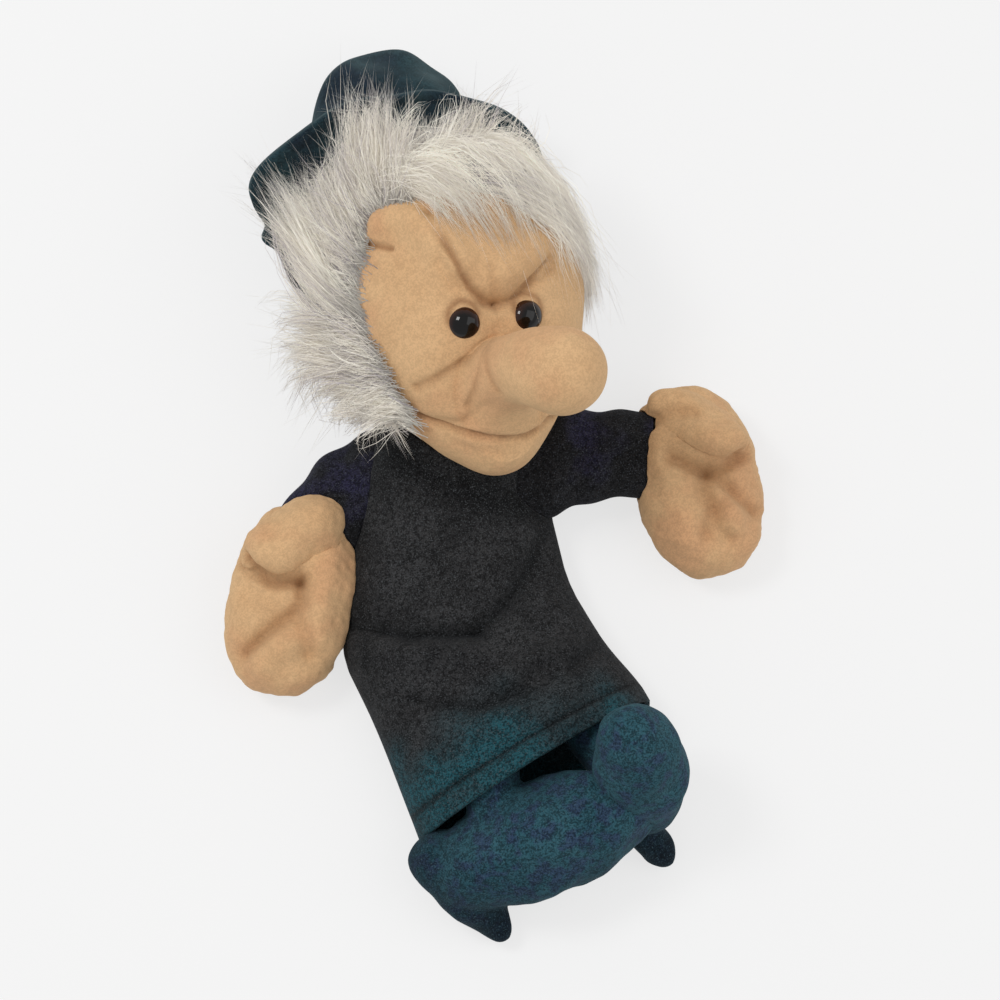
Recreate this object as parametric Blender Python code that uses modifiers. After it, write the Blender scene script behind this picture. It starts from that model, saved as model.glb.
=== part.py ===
"""A finger puppet: a scowling old woman with a bulb nose, a fur wig and a soft hat.

The puppet lies on its back as it comes to rest. +Z is up and is its front, +Y runs to its head,
and the origin is on the flat of the glove's back panel, under the body. Lengths are in metres.
Left and right are the puppet's own, so its left hand is at +X.
"""

import math

import bmesh
import bpy
import numpy as np
from mathutils import Euler, Vector

MM = 0.001

# Fits between pieces
GAP = 0.3 * MM
SKIN_GAP = 0.6 * MM
NECK_GAP = 0.9 * MM
SEAM_GAP = 0.5 * MM
CUFF_GAP = 0.8 * MM

# Height over which a stuffed piece rounds up from where it is pressed flat
SOFT_EDGE = 1.5 * MM

# Cloth
VELOUR_WALL = 2.0 * MM
BRIM_WALL = 2.6 * MM

# Head: its centre and turn in the world, and its half sizes
HEAD_CENTRE = (31.8 * MM, 122.4 * MM, 50.0 * MM)
HEAD_TURN = (19.6, 11.4, -4.9)
HEAD_RADII = (46.0 * MM, 50.0 * MM, 45.0 * MM)

# Lobes of the face: direction in the head's frame, how far each swells, and its spread in degrees
JAW = ((0.0, -0.87, 0.47), 24.0 * MM, 36.0)
CHEEK_LEFT = ((0.55, -0.42, 0.72), 2.5 * MM, 20.0)
CHEEK_RIGHT = ((-0.50, -0.42, 0.75), 3.5 * MM, 20.0)
FOREHEAD = ((0.10, 0.55, 0.83), 2.5 * MM, 30.0)
NECK_TUCK = ((0.0, -0.93, -0.36), -3.0 * MM, 22.0)

# Rolls and creases of the face: points in the head's frame, height and half width
BROW_RIGHT = (((-33, 29, 20), (-22, 28, 31), (-13, 20, 39), (-8, 9, 44)), 5.0 * MM, 6.0 * MM)
BROW_LEFT = (((3, 3, 45), (13, 7, 44), (25, 12, 37)), 3.5 * MM, 6.0 * MM)
FROWN = (
    ((-14, 10, 42), (-9, -2, 44), (-2, -5, 45), (5, -6, 44), (11, -3, 43.5), (24, 3, 38)),
    -3.5 * MM,
    3.5 * MM,
)
CHEEK_CREASE = (((2, -15, 43), (-5, -21, 40.5), (-14, -32, 32), (-24, -40, 15)), -3.0 * MM, 4.0 * MM)
MOUTH = (
    ((-27, -41, 25), (-14, -48, 40), (0, -52, 45), (12, -50, 44), (24, -42, 34)),
    -3.0 * MM,
    4.0 * MM,
)

# Share of the way to the front at which the rolls and creases start, and are at their full height
FOLD_FADE = (0.38, 0.62)

# Nose: the way its middle runs in the head's frame, its ball, its waist and its root
NOSE_ROOT = (0.0 * MM, -25.0 * MM, 34.0 * MM)
NOSE_BEND = (2.0 * MM, -27.0 * MM, 64.0 * MM)
NOSE_TIP = (12.5 * MM, -31.0 * MM, 78.0 * MM)
NOSE_BALL_RADIUS = 15.0 * MM
NOSE_WAIST_RADIUS = 12.5 * MM
NOSE_ROOT_ANGLE = 21.0
# Shares of the mesh's rings: of the head's for the nose, of the nose's for the ball's cap, from where
# the nose runs into the face, and how soon it narrows to its waist
NOSE_SHARE = 0.36
NOSE_CAP_SHARE = 0.42
NOSE_BLEND_SHARE = 0.62
NOSE_WAIST_SHARE = 0.62

# Eyes: places in the head's frame, dome, shank and locking washer
EYE_PLACES = {"right": (-10.4, -8.4, 43.2), "left": (12.4, -9.4, 42.5)}
EYE_RADIUS = 6.0 * MM
EYE_DOME = 4.8 * MM
EYE_RIM = 1.2 * MM
EYE_SINK = 0.5 * MM
EYE_SHANK_RADIUS = 2.0 * MM
EYE_SHANK_LENGTH = 9.0 * MM
WASHER_RADIUS = 6.0 * MM
WASHER_THICKNESS = 1.2 * MM
FACE_CLOTH_DEPTH = 3.5 * MM
SOCKET_HEIGHT = 18.0 * MM

# Finger pocket of the head, along Y
POCKET_X = 24.0 * MM
POCKET_Z = 28.0 * MM
POCKET_RADIUS = 10.5 * MM
POCKET_MOUTH_Y = 74.0 * MM
POCKET_END_Y = 128.0 * MM
TUBE_WALL = 1.2 * MM

# Wig: pile height, and the tufts as direction in the world from the head's centre, reach and spread
WIG_PILE = 6.0 * MM
WIG_BACK_PILE = 3.0 * MM
WIG_RIDGE = 1.6 * MM
WIG_RIDGES = 17
WIG_SWIRL = 3.0
WIG_TAPER_POWER = 3
WIG_TUFTS = (
    ((-0.67, 0.72, -0.05), 30.0 * MM, 24.0),
    ((-0.88, 0.20, -0.25), 12.0 * MM, 24.0),
    ((-0.86, -0.28, -0.38), 23.0 * MM, 17.0),
    ((-0.25, 0.96, 0.16), 19.0 * MM, 20.0),
    ((0.30, 0.90, 0.30), 10.0 * MM, 26.0),
)
# Edge of the wig: azimuth about the face, and angle from the middle of the face, in degrees
WIG_EDGE = (
    (-180, 70), (-150, 76), (-128, 84), (-105, 118), (-90, 130), (-70, 120), (-45, 98), (-15, 88),
    (10, 80), (22, 56), (50, 38), (86, 41), (103, 50), (124, 60), (147, 64), (180, 70),
)

# Hat: the way its crown points in the world, its seat from the head's centre and its sizes
HAT_AXIS = (-0.077, 0.819, -0.564)
HAT_SEAT = HEAD_RADII[1] + WIG_PILE
HAT_SHIFT = -2.0 * MM
BRIM_INNER_RADIUS = 28.0 * MM
BRIM_OUTER_RADIUS = 53.0 * MM
BRIM_WAVE = 3.0 * MM
BRIM_WAVES = 3
BRIM_TIP_REACH = 10.0 * MM
BRIM_TIP_ANGLE = 150.0
BRIM_TIP_SPREAD = 20.0
CROWN_AXIS = (0.13, 0.98, -0.06)
CROWN_SHIFT = 3.0 * MM
CROWN_RADIUS = 32.5 * MM
CROWN_LENGTH = 58.0 * MM
CROWN_CRUSH = 0.75
CROWN_BASE_SHARE = 0.25
CROWN_DENT = 3.0 * MM
CROWN_DENT_TURN = 0.7
CROWN_DOME_POWER = 5
# Shares of the crown's height over which its dents and its crush set in
CROWN_DENT_SHARE = 0.5
CROWN_CRUSH_SHARE = 0.65

# Glove: stations from hem to neck as Y, middle X, half width, height of the front, all in mm
GLOVE_STATIONS = (
    (-47.0, 7.0, 46.5, 41.0),
    (-15.0, 1.5, 43.5, 36.0),
    (15.0, -4.0, 42.5, 33.0),
    (45.0, 3.0, 38.0, 34.0),
    (66.0, 9.0, 38.5, 39.0),
    (80.0, 15.0, 33.0, 45.0),
    (92.0, 18.0, 27.0, 47.0),
)
GLOVE_SEAM_HEIGHT = 9.0 * MM
# How far past the floor the back would round down, so that it lies flat over a share of its width
BACK_FLATNESS = 1.15
# Share of the glove's length by which the back's hem sags past the front's
BACK_SAG = 0.065
# The hem runs askew, which fades out over a share of the glove's length
HEM_TURN = 14.0
HEM_SHARE = 0.33
# Share of the glove's length by which the rooms cut for it run past its ends
HEM_ROOM = 0.01
# Folds of the front: points in X and Y in mm, height and half width
GLOVE_FOLDS = (
    (((-45, 24), (-22, 9), (2, 4), (22, 16), (38, 30)), -3.5 * MM, 6.0 * MM),
    (((-44, 15), (-20, 1), (0, -6)), 2.5 * MM, 5.0 * MM),
    (((-30, -10), (-8, -22), (14, -22)), -2.5 * MM, 5.0 * MM),
    (((12, -14), (30, -12), (46, -4)), 3.0 * MM, 6.0 * MM),
)

# Sleeves: way of the middle from inside the glove to inside the hand, half width and half height
SLEEVE_RIGHT = ((0, 69, 16), (-24, 76, 19), (-44, 59, 16))
SLEEVE_LEFT = ((26, 58, 16), (54, 62, 20), (82, 50, 18))
SLEEVE_SHOULDER = (19.5 * MM, 12.0 * MM)
SLEEVE_WRIST = (15.0 * MM, 9.5 * MM)

# Hands: middle in the world and turn about Z
HAND_RIGHT = ((-58, 40, 15), 150.0)
HAND_LEFT = ((96, 36, 15), 174.0)
HAND_LENGTH = 36.0 * MM
HAND_WIDTH = 23.0 * MM
HAND_THICKNESS = 16.0 * MM
HAND_SQUARENESS = 0.85
# Thumbs in the hands' frames: both ends in mm, and the radii there
THUMB_RIGHT = ((3, -29, 10), (11.5, -12, 10), 8.5, 8.5)
THUMB_LEFT = ((4, -28, 10), (-11.5, -12, 10), 8.0, 8.0)
# Rolls and creases of the palms: points in the hands' frames in mm, height and half width
PALM_RIGHT = (
    (((15.6, 0.5, 10), (5.8, -1.3, 13), (-2.6, -5.4, 14), (-5, -13.9, 14)), -3.0 * MM, 3.5 * MM),
    (((-4.9, -0.3, 14), (1.2, 10.5, 13), (7.5, 19.8, 12), (13.1, 28.6, 9)), -4.0 * MM, 5.0 * MM),
    (((-9.2, -21.1, 13), (-14.1, -3.2, 13), (-13.8, 15.3, 12)), 2.5 * MM, 6.0 * MM),
)
PALM_LEFT = (
    (((14.5, -19.7, 12), (1.4, -9, 13), (-6, -2, 13), (-17.4, -0.4, 10)), -2.5 * MM, 3.5 * MM),
    (((1.8, -3.7, 13), (1.2, 6.4, 13), (1.4, 17.5, 12), (0.6, 27.6, 9)), -4.0 * MM, 4.5 * MM),
    (((12, -11.2, 13), (11.9, 7.9, 13), (8.7, 23.4, 11)), 2.5 * MM, 5.0 * MM),
    (((-5.3, 13.5, 13), (-6.2, 23, 12)), 2.5 * MM, 5.0 * MM),
)
FINGERTIP_RADIUS = 8.0 * MM
FINGERTIP_DEPTH = 14.0 * MM

# Boots in mm: foot middle, foot axis and half sizes; both ends of the leg and heel nub and their radii
BOOT_RIGHT_FOOT = ((0, -72, 24), (0.93, 0.05, 0.24), (44, 21, 20))
BOOT_RIGHT_LEG = ((-14, -66, 26), (-8, -38, 27), 10, 10)
BOOT_RIGHT_NUB = ((-28, -69, 16), (-24.5, -93.5, 8.5), 12.5, 7)
BOOT_LEFT_FOOT = ((40.3, -60.5, 37), (-0.03, 0.24, 0.97), (38, 16, 18.5))
BOOT_LEFT_LEG = ((38, -58, 24), (29, -30, 25), 10, 10)
BOOT_LEFT_NUB = ((37, -80, 10), (41, -89.5, 6), 8, 4.8)
FOOT_SQUARENESS = 0.9
LIMB_SQUARENESS = 0.7

# Mesh divisions
HEAD_DIVISIONS = (44, 28)
WIG_DIVISIONS = (45, 22)
HAND_DIVISIONS = (20, 14)
FOOT_DIVISIONS = (18, 12)
LIMB_DIVISIONS = (12, 8)
FRONT_DIVISIONS = (20, 16)
BACK_DIVISIONS = (12, 12)
BRIM_DIVISIONS = (34, 4)
CROWN_DIVISIONS = (24, 12)
SLEEVE_DIVISIONS = (16, 6)
GLOVE_ROOM_DIVISIONS = (32, 20)
SLEEVE_ROOM_DIVISIONS = (16, 8)
TURNED_SIDES = 16
TUBE_SIDES = 24
EYE_ARC_STEPS = 6

# Share of a closed block's rings that closes each of its ends
GLOVE_CAP_SHARE = 0.05
SLEEVE_CAP_SHARE = 0.125
# Sine of the polar angle under which a ring is a ball's pole
POLE_SINE = 0.001

COLOURS = {
    "skin": ("#D8AC84", 0.85),
    "eye": ("#24130C", 0.08),
    "washer": ("#E8E6E0", 0.45),
    "lining": ("#B7A189", 0.90),
    "fur": ("#CFCBD2", 0.70),
    "hat": ("#16292E", 0.90),
    "velour": ("#1C1F24", 0.92),
    "boot": ("#1B3540", 0.92),
}


def rest_on(heights, floor):
    """Heights pressed on a floor: flat below it, and rounded up from it over a soft edge."""
    above = (heights - floor) / SOFT_EDGE
    return floor + SOFT_EDGE * np.where(above > 1, above, np.maximum(above + 1, 0) ** 2 / 4)


def unit(vector):
    """The vector at a length of one."""
    vector = np.array(vector, float)
    return vector / np.linalg.norm(vector)


def linear(code):
    """A Blender colour from a screen colour code."""
    channels = [int(code[i:i + 2], 16) / 255 for i in (1, 3, 5)]
    return [c / 12.92 if c <= 0.04045 else ((c + 0.055) / 1.055) ** 2.4 for c in channels] + [1.0]


def clear_scene():
    """Remove whatever the scene holds."""
    for thing in list(bpy.data.objects):
        bpy.data.objects.remove(thing, do_unlink=True)


def make_collection(name):
    """A new collection in the scene."""
    collection = bpy.data.collections.new(name)
    bpy.context.scene.collection.children.link(collection)
    return collection


def make_materials():
    """One material for each finish."""
    made = {}
    for name, (code, roughness) in COLOURS.items():
        finish = bpy.data.materials.new(name)
        finish.use_nodes = True
        shader = finish.node_tree.nodes["Principled BSDF"]
        shader.inputs["Base Color"].default_value = linear(code)
        shader.inputs["Roughness"].default_value = roughness
        shader.inputs["Metallic"].default_value = 0.0
        finish.diffuse_color = linear(code)
        made[name] = finish
    return made


class Place:
    """A frame of its own for some pieces: an empty, and the sums between it and the world."""

    def __init__(self, name, origin, turn, collection):
        euler = Euler([math.radians(angle) for angle in turn])
        self.origin = np.array(origin, float)
        self.matrix = np.array(euler.to_matrix())
        self.empty = bpy.data.objects.new(name, None)
        self.empty.empty_display_size = 10 * MM
        self.empty.location = origin
        self.empty.rotation_euler = euler
        collection.objects.link(self.empty)

    def to_world(self, points):
        """World points of points in this frame."""
        return points @ self.matrix.T + self.origin

    def to_local(self, points):
        """Points in this frame of world points."""
        return (points - self.origin) @ self.matrix

    def direction(self, vector):
        """This frame's direction of a world direction."""
        return unit(vector) @ self.matrix

    def keep_above(self, points, height):
        """The points, with those that would be lower than a height raised to it round a soft edge."""
        world = self.to_world(points)
        world[:, 2] = rest_on(world[:, 2], height)
        return self.to_local(world)


class Workshop:
    """The collections and materials that each piece is made with."""

    def __init__(self):
        self.parts = make_collection("finger_puppet")
        self.cutters = make_collection("cutters")
        self.materials = make_materials()

    def piece(self, name, mesh, finish, place=None):
        """Put a mesh in the scene as a named piece."""
        thing = bpy.data.objects.new(name, mesh)
        mesh.materials.append(self.materials[finish])
        mesh.shade_smooth()
        self.parts.objects.link(thing)
        if place:
            thing.parent = place.empty
        return thing

    def cutter(self, name, mesh, place=None):
        """Put a mesh in the scene as a cutter."""
        thing = bpy.data.objects.new(name, mesh)
        thing.hide_render = True
        thing.display_type = "WIRE"
        self.cutters.objects.link(thing)
        if place:
            thing.parent = place.empty
        return thing


def combine(piece, other, operation):
    """Cut a piece by another object, or join that object to it."""
    modifier = piece.modifiers.new(operation.lower() + "_" + other.name, "BOOLEAN")
    modifier.operation = operation
    modifier.solver = "EXACT"
    modifier.object = other


def finish_mesh(name, body, closed):
    """The mesh of a bmesh body, with its faces turned outwards if it is closed."""
    if closed and body.calc_volume(signed=True) < 0:
        bmesh.ops.reverse_faces(body, faces=body.faces)
    mesh = bpy.data.meshes.new(name)
    body.to_mesh(mesh)
    body.free()
    return mesh


def ball(name, divisions, shape):
    """A closed mesh: a sphere whose polar angle and azimuth are mapped to points by a function."""
    body = bmesh.new()
    bmesh.ops.create_uvsphere(body, u_segments=divisions[0], v_segments=divisions[1], radius=1.0)
    points = np.array([vertex.co for vertex in body.verts])
    polar = np.arccos(np.clip(points[:, 2], -1, 1))
    azimuth = np.arctan2(points[:, 1], points[:, 0])
    for vertex, point in zip(body.verts, shape(polar, azimuth)):
        vertex.co = point
    return finish_mesh(name, body, True)


def sheet(name, divisions, shape):
    """An open mesh: a square grid whose two shares, each 0 to 1, are mapped to points by a function."""
    body = bmesh.new()
    bmesh.ops.create_grid(body, x_segments=divisions[0], y_segments=divisions[1], size=0.5)
    points = np.array([vertex.co for vertex in body.verts])
    for vertex, point in zip(body.verts, shape(points[:, 0] + 0.5, points[:, 1] + 0.5)):
        vertex.co = point
    bmesh.ops.remove_doubles(body, verts=body.verts, dist=0.01 * MM)
    return finish_mesh(name, body, False)


def thicken(piece, wall):
    """Give an open sheet its wall, half on each side."""
    modifier = piece.modifiers.new("wall", "SOLIDIFY")
    modifier.thickness = wall
    modifier.offset = 0.0
    modifier.use_even_offset = True
    return piece


def turned(name, profile, closed, sides):
    """A turned mesh about Z: a profile in X and Z, run down its outer side, with its Screw applied."""
    line = bpy.data.meshes.new(name + "_profile")
    edges = [(i, i + 1) for i in range(len(profile) - 1)]
    if closed:
        edges.append((len(profile) - 1, 0))
    line.from_pydata([(x, 0.0, z) for x, z in profile], edges, [])
    thing = bpy.data.objects.new(name, line)
    screw = thing.modifiers.new("turn", "SCREW")
    screw.steps = sides
    screw.render_steps = sides
    screw.use_merge_vertices = True
    screw.merge_threshold = 0.01 * MM
    bpy.context.scene.collection.objects.link(thing)
    graph = bpy.context.evaluated_depsgraph_get()
    body = bmesh.new()
    body.from_mesh(thing.evaluated_get(graph).to_mesh())
    bpy.data.objects.remove(thing)
    bpy.data.meshes.remove(line)
    return finish_mesh(name, body, True)


def lobe(directions, peak, spread):
    """One at the lobe's peak, falling smoothly to nought past its spread in degrees."""
    angle = np.degrees(np.arccos(np.clip(directions @ unit(peak), -1, 1)))
    return np.exp(-(angle / spread) ** 2)


def stroke(points, line, width):
    """One on a line of points in mm, falling smoothly to nought past the width on either side."""
    line = np.array(line, float) * MM
    nearest = np.full(len(points), np.inf)
    for start, end in zip(line[:-1], line[1:]):
        run = end - start
        share = np.clip(((points - start) @ run) / (run @ run), 0, 1)
        nearest = np.minimum(nearest, np.linalg.norm(points - start - share[:, None] * run, axis=1))
    return np.exp(-(nearest / width) ** 2)


def smooth_step(share):
    """Nought to one, level at both ends."""
    share = np.clip(share, 0, 1)
    return share * share * (3 - 2 * share)


def bezier(points, share):
    """A place and a direction on a curve drawn by three points."""
    first, middle, last = [np.array(point, float) for point in points]
    share = np.asarray(share, float)[:, None]
    place = (1 - share) ** 2 * first + 2 * share * (1 - share) * middle + share ** 2 * last
    run = 2 * (1 - share) * (middle - first) + 2 * share * (last - middle)
    return place, run / np.linalg.norm(run, axis=1)[:, None]


def head_skin(directions, place, gap=0.0):
    """Points of the head's skin, in its frame, along unit directions from its centre."""
    radius = 1 / np.linalg.norm(directions / np.array(HEAD_RADII), axis=1)
    points = directions * radius[:, None]
    for peak, reach, spread in (JAW, CHEEK_LEFT, CHEEK_RIGHT, FOREHEAD, NECK_TUCK):
        points = points + reach * lobe(directions, peak, spread)[:, None] * unit(peak)
    swell = np.zeros(len(points))
    for line, height, width in (BROW_RIGHT, BROW_LEFT, FROWN, CHEEK_CREASE, MOUTH):
        swell += height * stroke(points, line, width)
    swell *= smooth_step((directions[:, 2] - FOLD_FADE[0]) / (FOLD_FADE[1] - FOLD_FADE[0]))
    points = points + (swell + gap)[:, None] * directions
    lowest = BRIM_WALL + WIG_BACK_PILE + 2 * GAP + SKIN_GAP
    return place.keep_above(points, lowest - gap)


def nose_axes():
    """The nose root's direction and two directions across it."""
    axis = unit(NOSE_ROOT)
    across = unit(np.cross((0, 1, 0), axis))
    return axis, across, np.cross(axis, across)


def head_shape(place):
    """The head's shape: rings run from the nose's tip to its root and on over the head."""
    axis, across, upward = nose_axes()
    start = NOSE_SHARE * math.pi

    def shape(polar, azimuth):
        side = np.cos(azimuth)[:, None]
        rise = np.sin(azimuth)[:, None]
        share = np.clip(polar / start, 0, 1)
        root_angle = math.radians(NOSE_ROOT_ANGLE)
        beyond = np.clip((polar - start) / (math.pi - start), 0, 1)
        angle = np.where(polar < start, root_angle * share, root_angle + beyond * (math.pi - root_angle))
        angle = angle[:, None]
        directions = np.cos(angle) * axis + np.sin(angle) * (side * across + rise * upward)
        skin = head_skin(directions, place)
        cap = np.clip(share / NOSE_CAP_SHARE, 0, 1) * math.pi / 2
        along = np.clip((share - NOSE_CAP_SHARE) / (1 - NOSE_CAP_SHARE), 0, 1)
        middle, run = bezier((NOSE_TIP, NOSE_BEND, NOSE_ROOT), along)
        forward = -run
        right = np.cross(upward, forward)
        right /= np.linalg.norm(right, axis=1)[:, None]
        over = np.cross(forward, right)
        narrowing = NOSE_WAIST_RADIUS - NOSE_BALL_RADIUS
        radius = NOSE_BALL_RADIUS + narrowing * smooth_step(along / NOSE_WAIST_SHARE)
        ring = (radius * np.sin(cap))[:, None] * (side * right + rise * over)
        nose = middle + ring + (NOSE_BALL_RADIUS * np.cos(cap))[:, None] * forward
        blend = smooth_step((share - NOSE_BLEND_SHARE) / (1 - NOSE_BLEND_SHARE))[:, None]
        return nose * (1 - blend) + skin * blend

    return shape


def eye_place(name, point, shop, head_place):
    """An eye's frame on the face: an empty under the head's, with its Z out of the face."""
    direction = unit(np.array(point) / np.array(HEAD_RADII) ** 2)
    skin = head_skin(unit(point)[None, :], head_place)[0]
    empty = bpy.data.objects.new(name, None)
    empty.empty_display_size = 5 * MM
    empty.parent = head_place.empty
    empty.location = skin - direction * EYE_SINK
    empty.rotation_euler = Vector(direction).to_track_quat("Z", "Y").to_euler()
    shop.parts.objects.link(empty)
    return empty


def eye_profile():
    """The eye from the top of its dome down its outer side to the end of its shank."""
    arc = [math.pi / 2 * i / EYE_ARC_STEPS for i in range(EYE_ARC_STEPS + 1)]
    dome = [(EYE_RADIUS * math.sin(a), EYE_DOME * math.cos(a)) for a in arc]
    base = -EYE_RIM
    end = base - EYE_SHANK_LENGTH
    return dome + [(EYE_RADIUS, base), (EYE_SHANK_RADIUS, base), (EYE_SHANK_RADIUS, end), (0.0, end)]


def eye_socket_profile():
    """The room in the face for the eye, its shank and its washer."""
    bore = EYE_SHANK_RADIUS + GAP
    base = -EYE_RIM - GAP
    pocket = WASHER_RADIUS + GAP
    pocket_top = base - FACE_CLOTH_DEPTH
    pocket_base = pocket_top - WASHER_THICKNESS - 2 * GAP
    end = -EYE_RIM - EYE_SHANK_LENGTH - GAP
    rim = EYE_RADIUS + GAP
    return [
        (0.0, SOCKET_HEIGHT), (rim, SOCKET_HEIGHT), (rim, base), (bore, base), (bore, pocket_top),
        (pocket, pocket_top), (pocket, pocket_base), (bore, pocket_base), (bore, end), (0.0, end),
    ]


def make_head(shop, place):
    """The stuffed head with its nose, its finger pocket and the eyes' sockets."""
    head = shop.piece("head", ball("head", HEAD_DIVISIONS, head_shape(place)), "skin", place)
    for side, point in EYE_PLACES.items():
        make_eye(side, np.array(point) * MM, shop, place, head)
    make_finger_pocket(shop, head)


def make_eye(side, point, shop, place, head):
    """One safety eye, the washer on its shank, and their room in the head."""
    empty = eye_place("eye_place_" + side, point, shop, place)
    eye = shop.piece("eye_" + side, turned("eye", eye_profile(), False, TURNED_SIDES), "eye")
    top = -EYE_RIM - GAP - FACE_CLOTH_DEPTH - GAP
    base = top - WASHER_THICKNESS
    bore = EYE_SHANK_RADIUS + GAP
    ring = [(bore, top), (WASHER_RADIUS, top), (WASHER_RADIUS, base), (bore, base)]
    washer = shop.piece("eye_washer_" + side, turned("washer", ring, True, TURNED_SIDES), "washer")
    socket_mesh = turned("socket", eye_socket_profile(), False, TURNED_SIDES)
    socket = shop.cutter("eye_socket_" + side, socket_mesh)
    for thing in (eye, washer, socket):
        thing.parent = empty
    combine(head, socket, "DIFFERENCE")


def make_finger_pocket(shop, head):
    """The lined pocket for a finger, from the neck up into the head."""
    outer = POCKET_RADIUS + TUBE_WALL
    length = POCKET_END_Y - POCKET_MOUTH_Y
    floor = length - TUBE_WALL
    tube = [
        (0.0, length), (outer, length), (outer, 0.0),
        (POCKET_RADIUS, 0.0), (POCKET_RADIUS, floor), (0.0, floor),
    ]
    bore = [(0.0, length + GAP), (outer + GAP, length + GAP), (outer + GAP, -length), (0.0, -length)]
    lining = shop.piece("finger_tube", turned("finger_tube", tube, False, TUBE_SIDES), "lining")
    cutter = shop.cutter("pocket_bore", turned("pocket_bore", bore, False, TUBE_SIDES))
    for thing in (lining, cutter):
        thing.location = (POCKET_X, POCKET_MOUTH_Y, POCKET_Z)
        thing.rotation_euler = (-math.pi / 2, 0, 0)
    combine(head, cutter, "DIFFERENCE")


def wig_shape(place):
    """The wig's shape: rings run over the outside from its middle to its edge, then back inside."""
    edge = np.array(WIG_EDGE, float)
    seat = HAT_SEAT - BRIM_WALL / 2 - GAP
    axis = place.direction(HAT_AXIS)
    tufts = [(place.direction(way), reach, spread) for way, reach, spread in WIG_TUFTS]

    def shape(polar, azimuth):
        outside = polar < math.pi / 2
        share = np.where(outside, polar, math.pi - polar) / (math.pi / 2)
        edge_angle = np.radians(np.interp(np.degrees(azimuth), edge[:, 0], edge[:, 1]))
        angle = (math.pi - share * (math.pi - edge_angle))[:, None]
        directions = np.hstack([
            np.sin(angle) * np.cos(azimuth)[:, None],
            np.sin(angle) * np.sin(azimuth)[:, None],
            np.cos(angle),
        ])
        skin = head_skin(directions, place, SKIN_GAP)
        pile = np.full(len(polar), WIG_PILE)
        for way, reach, spread in tufts:
            pile += reach * lobe(directions, way, spread)
        pile += WIG_RIDGE * np.cos(WIG_RIDGES * azimuth + WIG_SWIRL * share) * share
        taper = np.sqrt(np.clip(1 - share ** WIG_TAPER_POWER, 0, 1))
        pile = np.where(outside, pile * taper, 0.0)
        points = skin + pile[:, None] * directions
        depth = points @ axis
        points = points * np.where(depth > seat, seat / np.maximum(depth, MM), 1.0)[:, None]
        return place.keep_above(points, np.where(outside, BRIM_WALL + GAP, 0.0))

    return shape


def hat_axes():
    """The hat's directions in the world: its crown's way, across it, and up the slope of its brim."""
    way = unit(HAT_AXIS)
    across = unit(np.cross(way, (0, 0, 1)))
    return way, across, np.cross(across, way)


def hat_middle():
    """The middle of the brim in the world."""
    way, across, _ = hat_axes()
    return np.array(HEAD_CENTRE) + HAT_SEAT * way + HAT_SHIFT * across


def brim_shape(angle_share, radius_share):
    """The brim's shape: a wavy disc that slopes down to the floor and lies flat on it."""
    _, across, slope = hat_axes()
    angle = 2 * math.pi * angle_share
    tip = np.exp(-((np.degrees(angle) - BRIM_TIP_ANGLE) / BRIM_TIP_SPREAD) ** 2)
    outer = BRIM_OUTER_RADIUS + BRIM_TIP_REACH * tip + BRIM_WAVE * np.cos(BRIM_WAVES * angle)
    radius = BRIM_INNER_RADIUS + (outer - BRIM_INNER_RADIUS) * radius_share
    points = hat_middle() + radius[:, None] * (
        np.cos(angle)[:, None] * across + np.sin(angle)[:, None] * slope)
    floor = BRIM_WALL / 2
    past = np.maximum(floor - points[:, 2], 0) / slope[2]
    level = unit((slope[0], slope[1], 0))
    return points + past[:, None] * (slope - level)


def make_hat(shop):
    """The brim, and the crown crushed on the floor behind it."""
    thicken(shop.piece("hat_brim", sheet("hat_brim", BRIM_DIVISIONS, brim_shape), "hat"), BRIM_WALL)
    crown = shop.piece("hat_crown", ball("hat_crown", CROWN_DIVISIONS, crown_shape), "hat")
    room = shop.cutter("brim_room", sheet("brim_room", BRIM_DIVISIONS, brim_shape))
    thicken(room, BRIM_WALL + 2 * GAP)
    combine(crown, room, "DIFFERENCE")


def crown_shape(polar, azimuth):
    """The crown's shape: a flat base on the brim and a soft dome with dents, pressed to the floor."""
    way, across, slope = hat_axes()
    base = BRIM_WALL / 2 + SKIN_GAP
    share = np.clip((polar / math.pi - CROWN_BASE_SHARE) / (1 - CROWN_BASE_SHARE), 0, 1)
    inner = np.clip(polar / math.pi / CROWN_BASE_SHARE, 0, 1)
    spread = np.where(share > 0, np.sqrt(np.clip(1 - share ** CROWN_DOME_POWER, 0, 1)), inner)
    dent = CROWN_DENT * np.sin(2 * azimuth + CROWN_DENT_TURN) * smooth_step(share / CROWN_DENT_SHARE)
    crush = 1 - (1 - CROWN_CRUSH) * smooth_step(share / CROWN_CRUSH_SHARE)
    radius = spread * (CROWN_RADIUS - dent)
    points = hat_middle() + CROWN_SHIFT * across + base * way
    points = points + (CROWN_LENGTH * share)[:, None] * unit(CROWN_AXIS)
    points = points + (radius * np.cos(azimuth))[:, None] * across
    points = points + (radius * crush * np.sin(azimuth))[:, None] * slope
    points[:, 2] = rest_on(points[:, 2], 0.0)
    return points


def glove_section(share):
    """The glove's middle, half width and front height at shares of its way from hem to neck."""
    stations = np.array(GLOVE_STATIONS) * MM
    y = stations[0, 0] + share * (stations[-1, 0] - stations[0, 0])
    return (y,) + tuple(np.interp(y, stations[:, 0], stations[:, i]) for i in (1, 2, 3))


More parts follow.
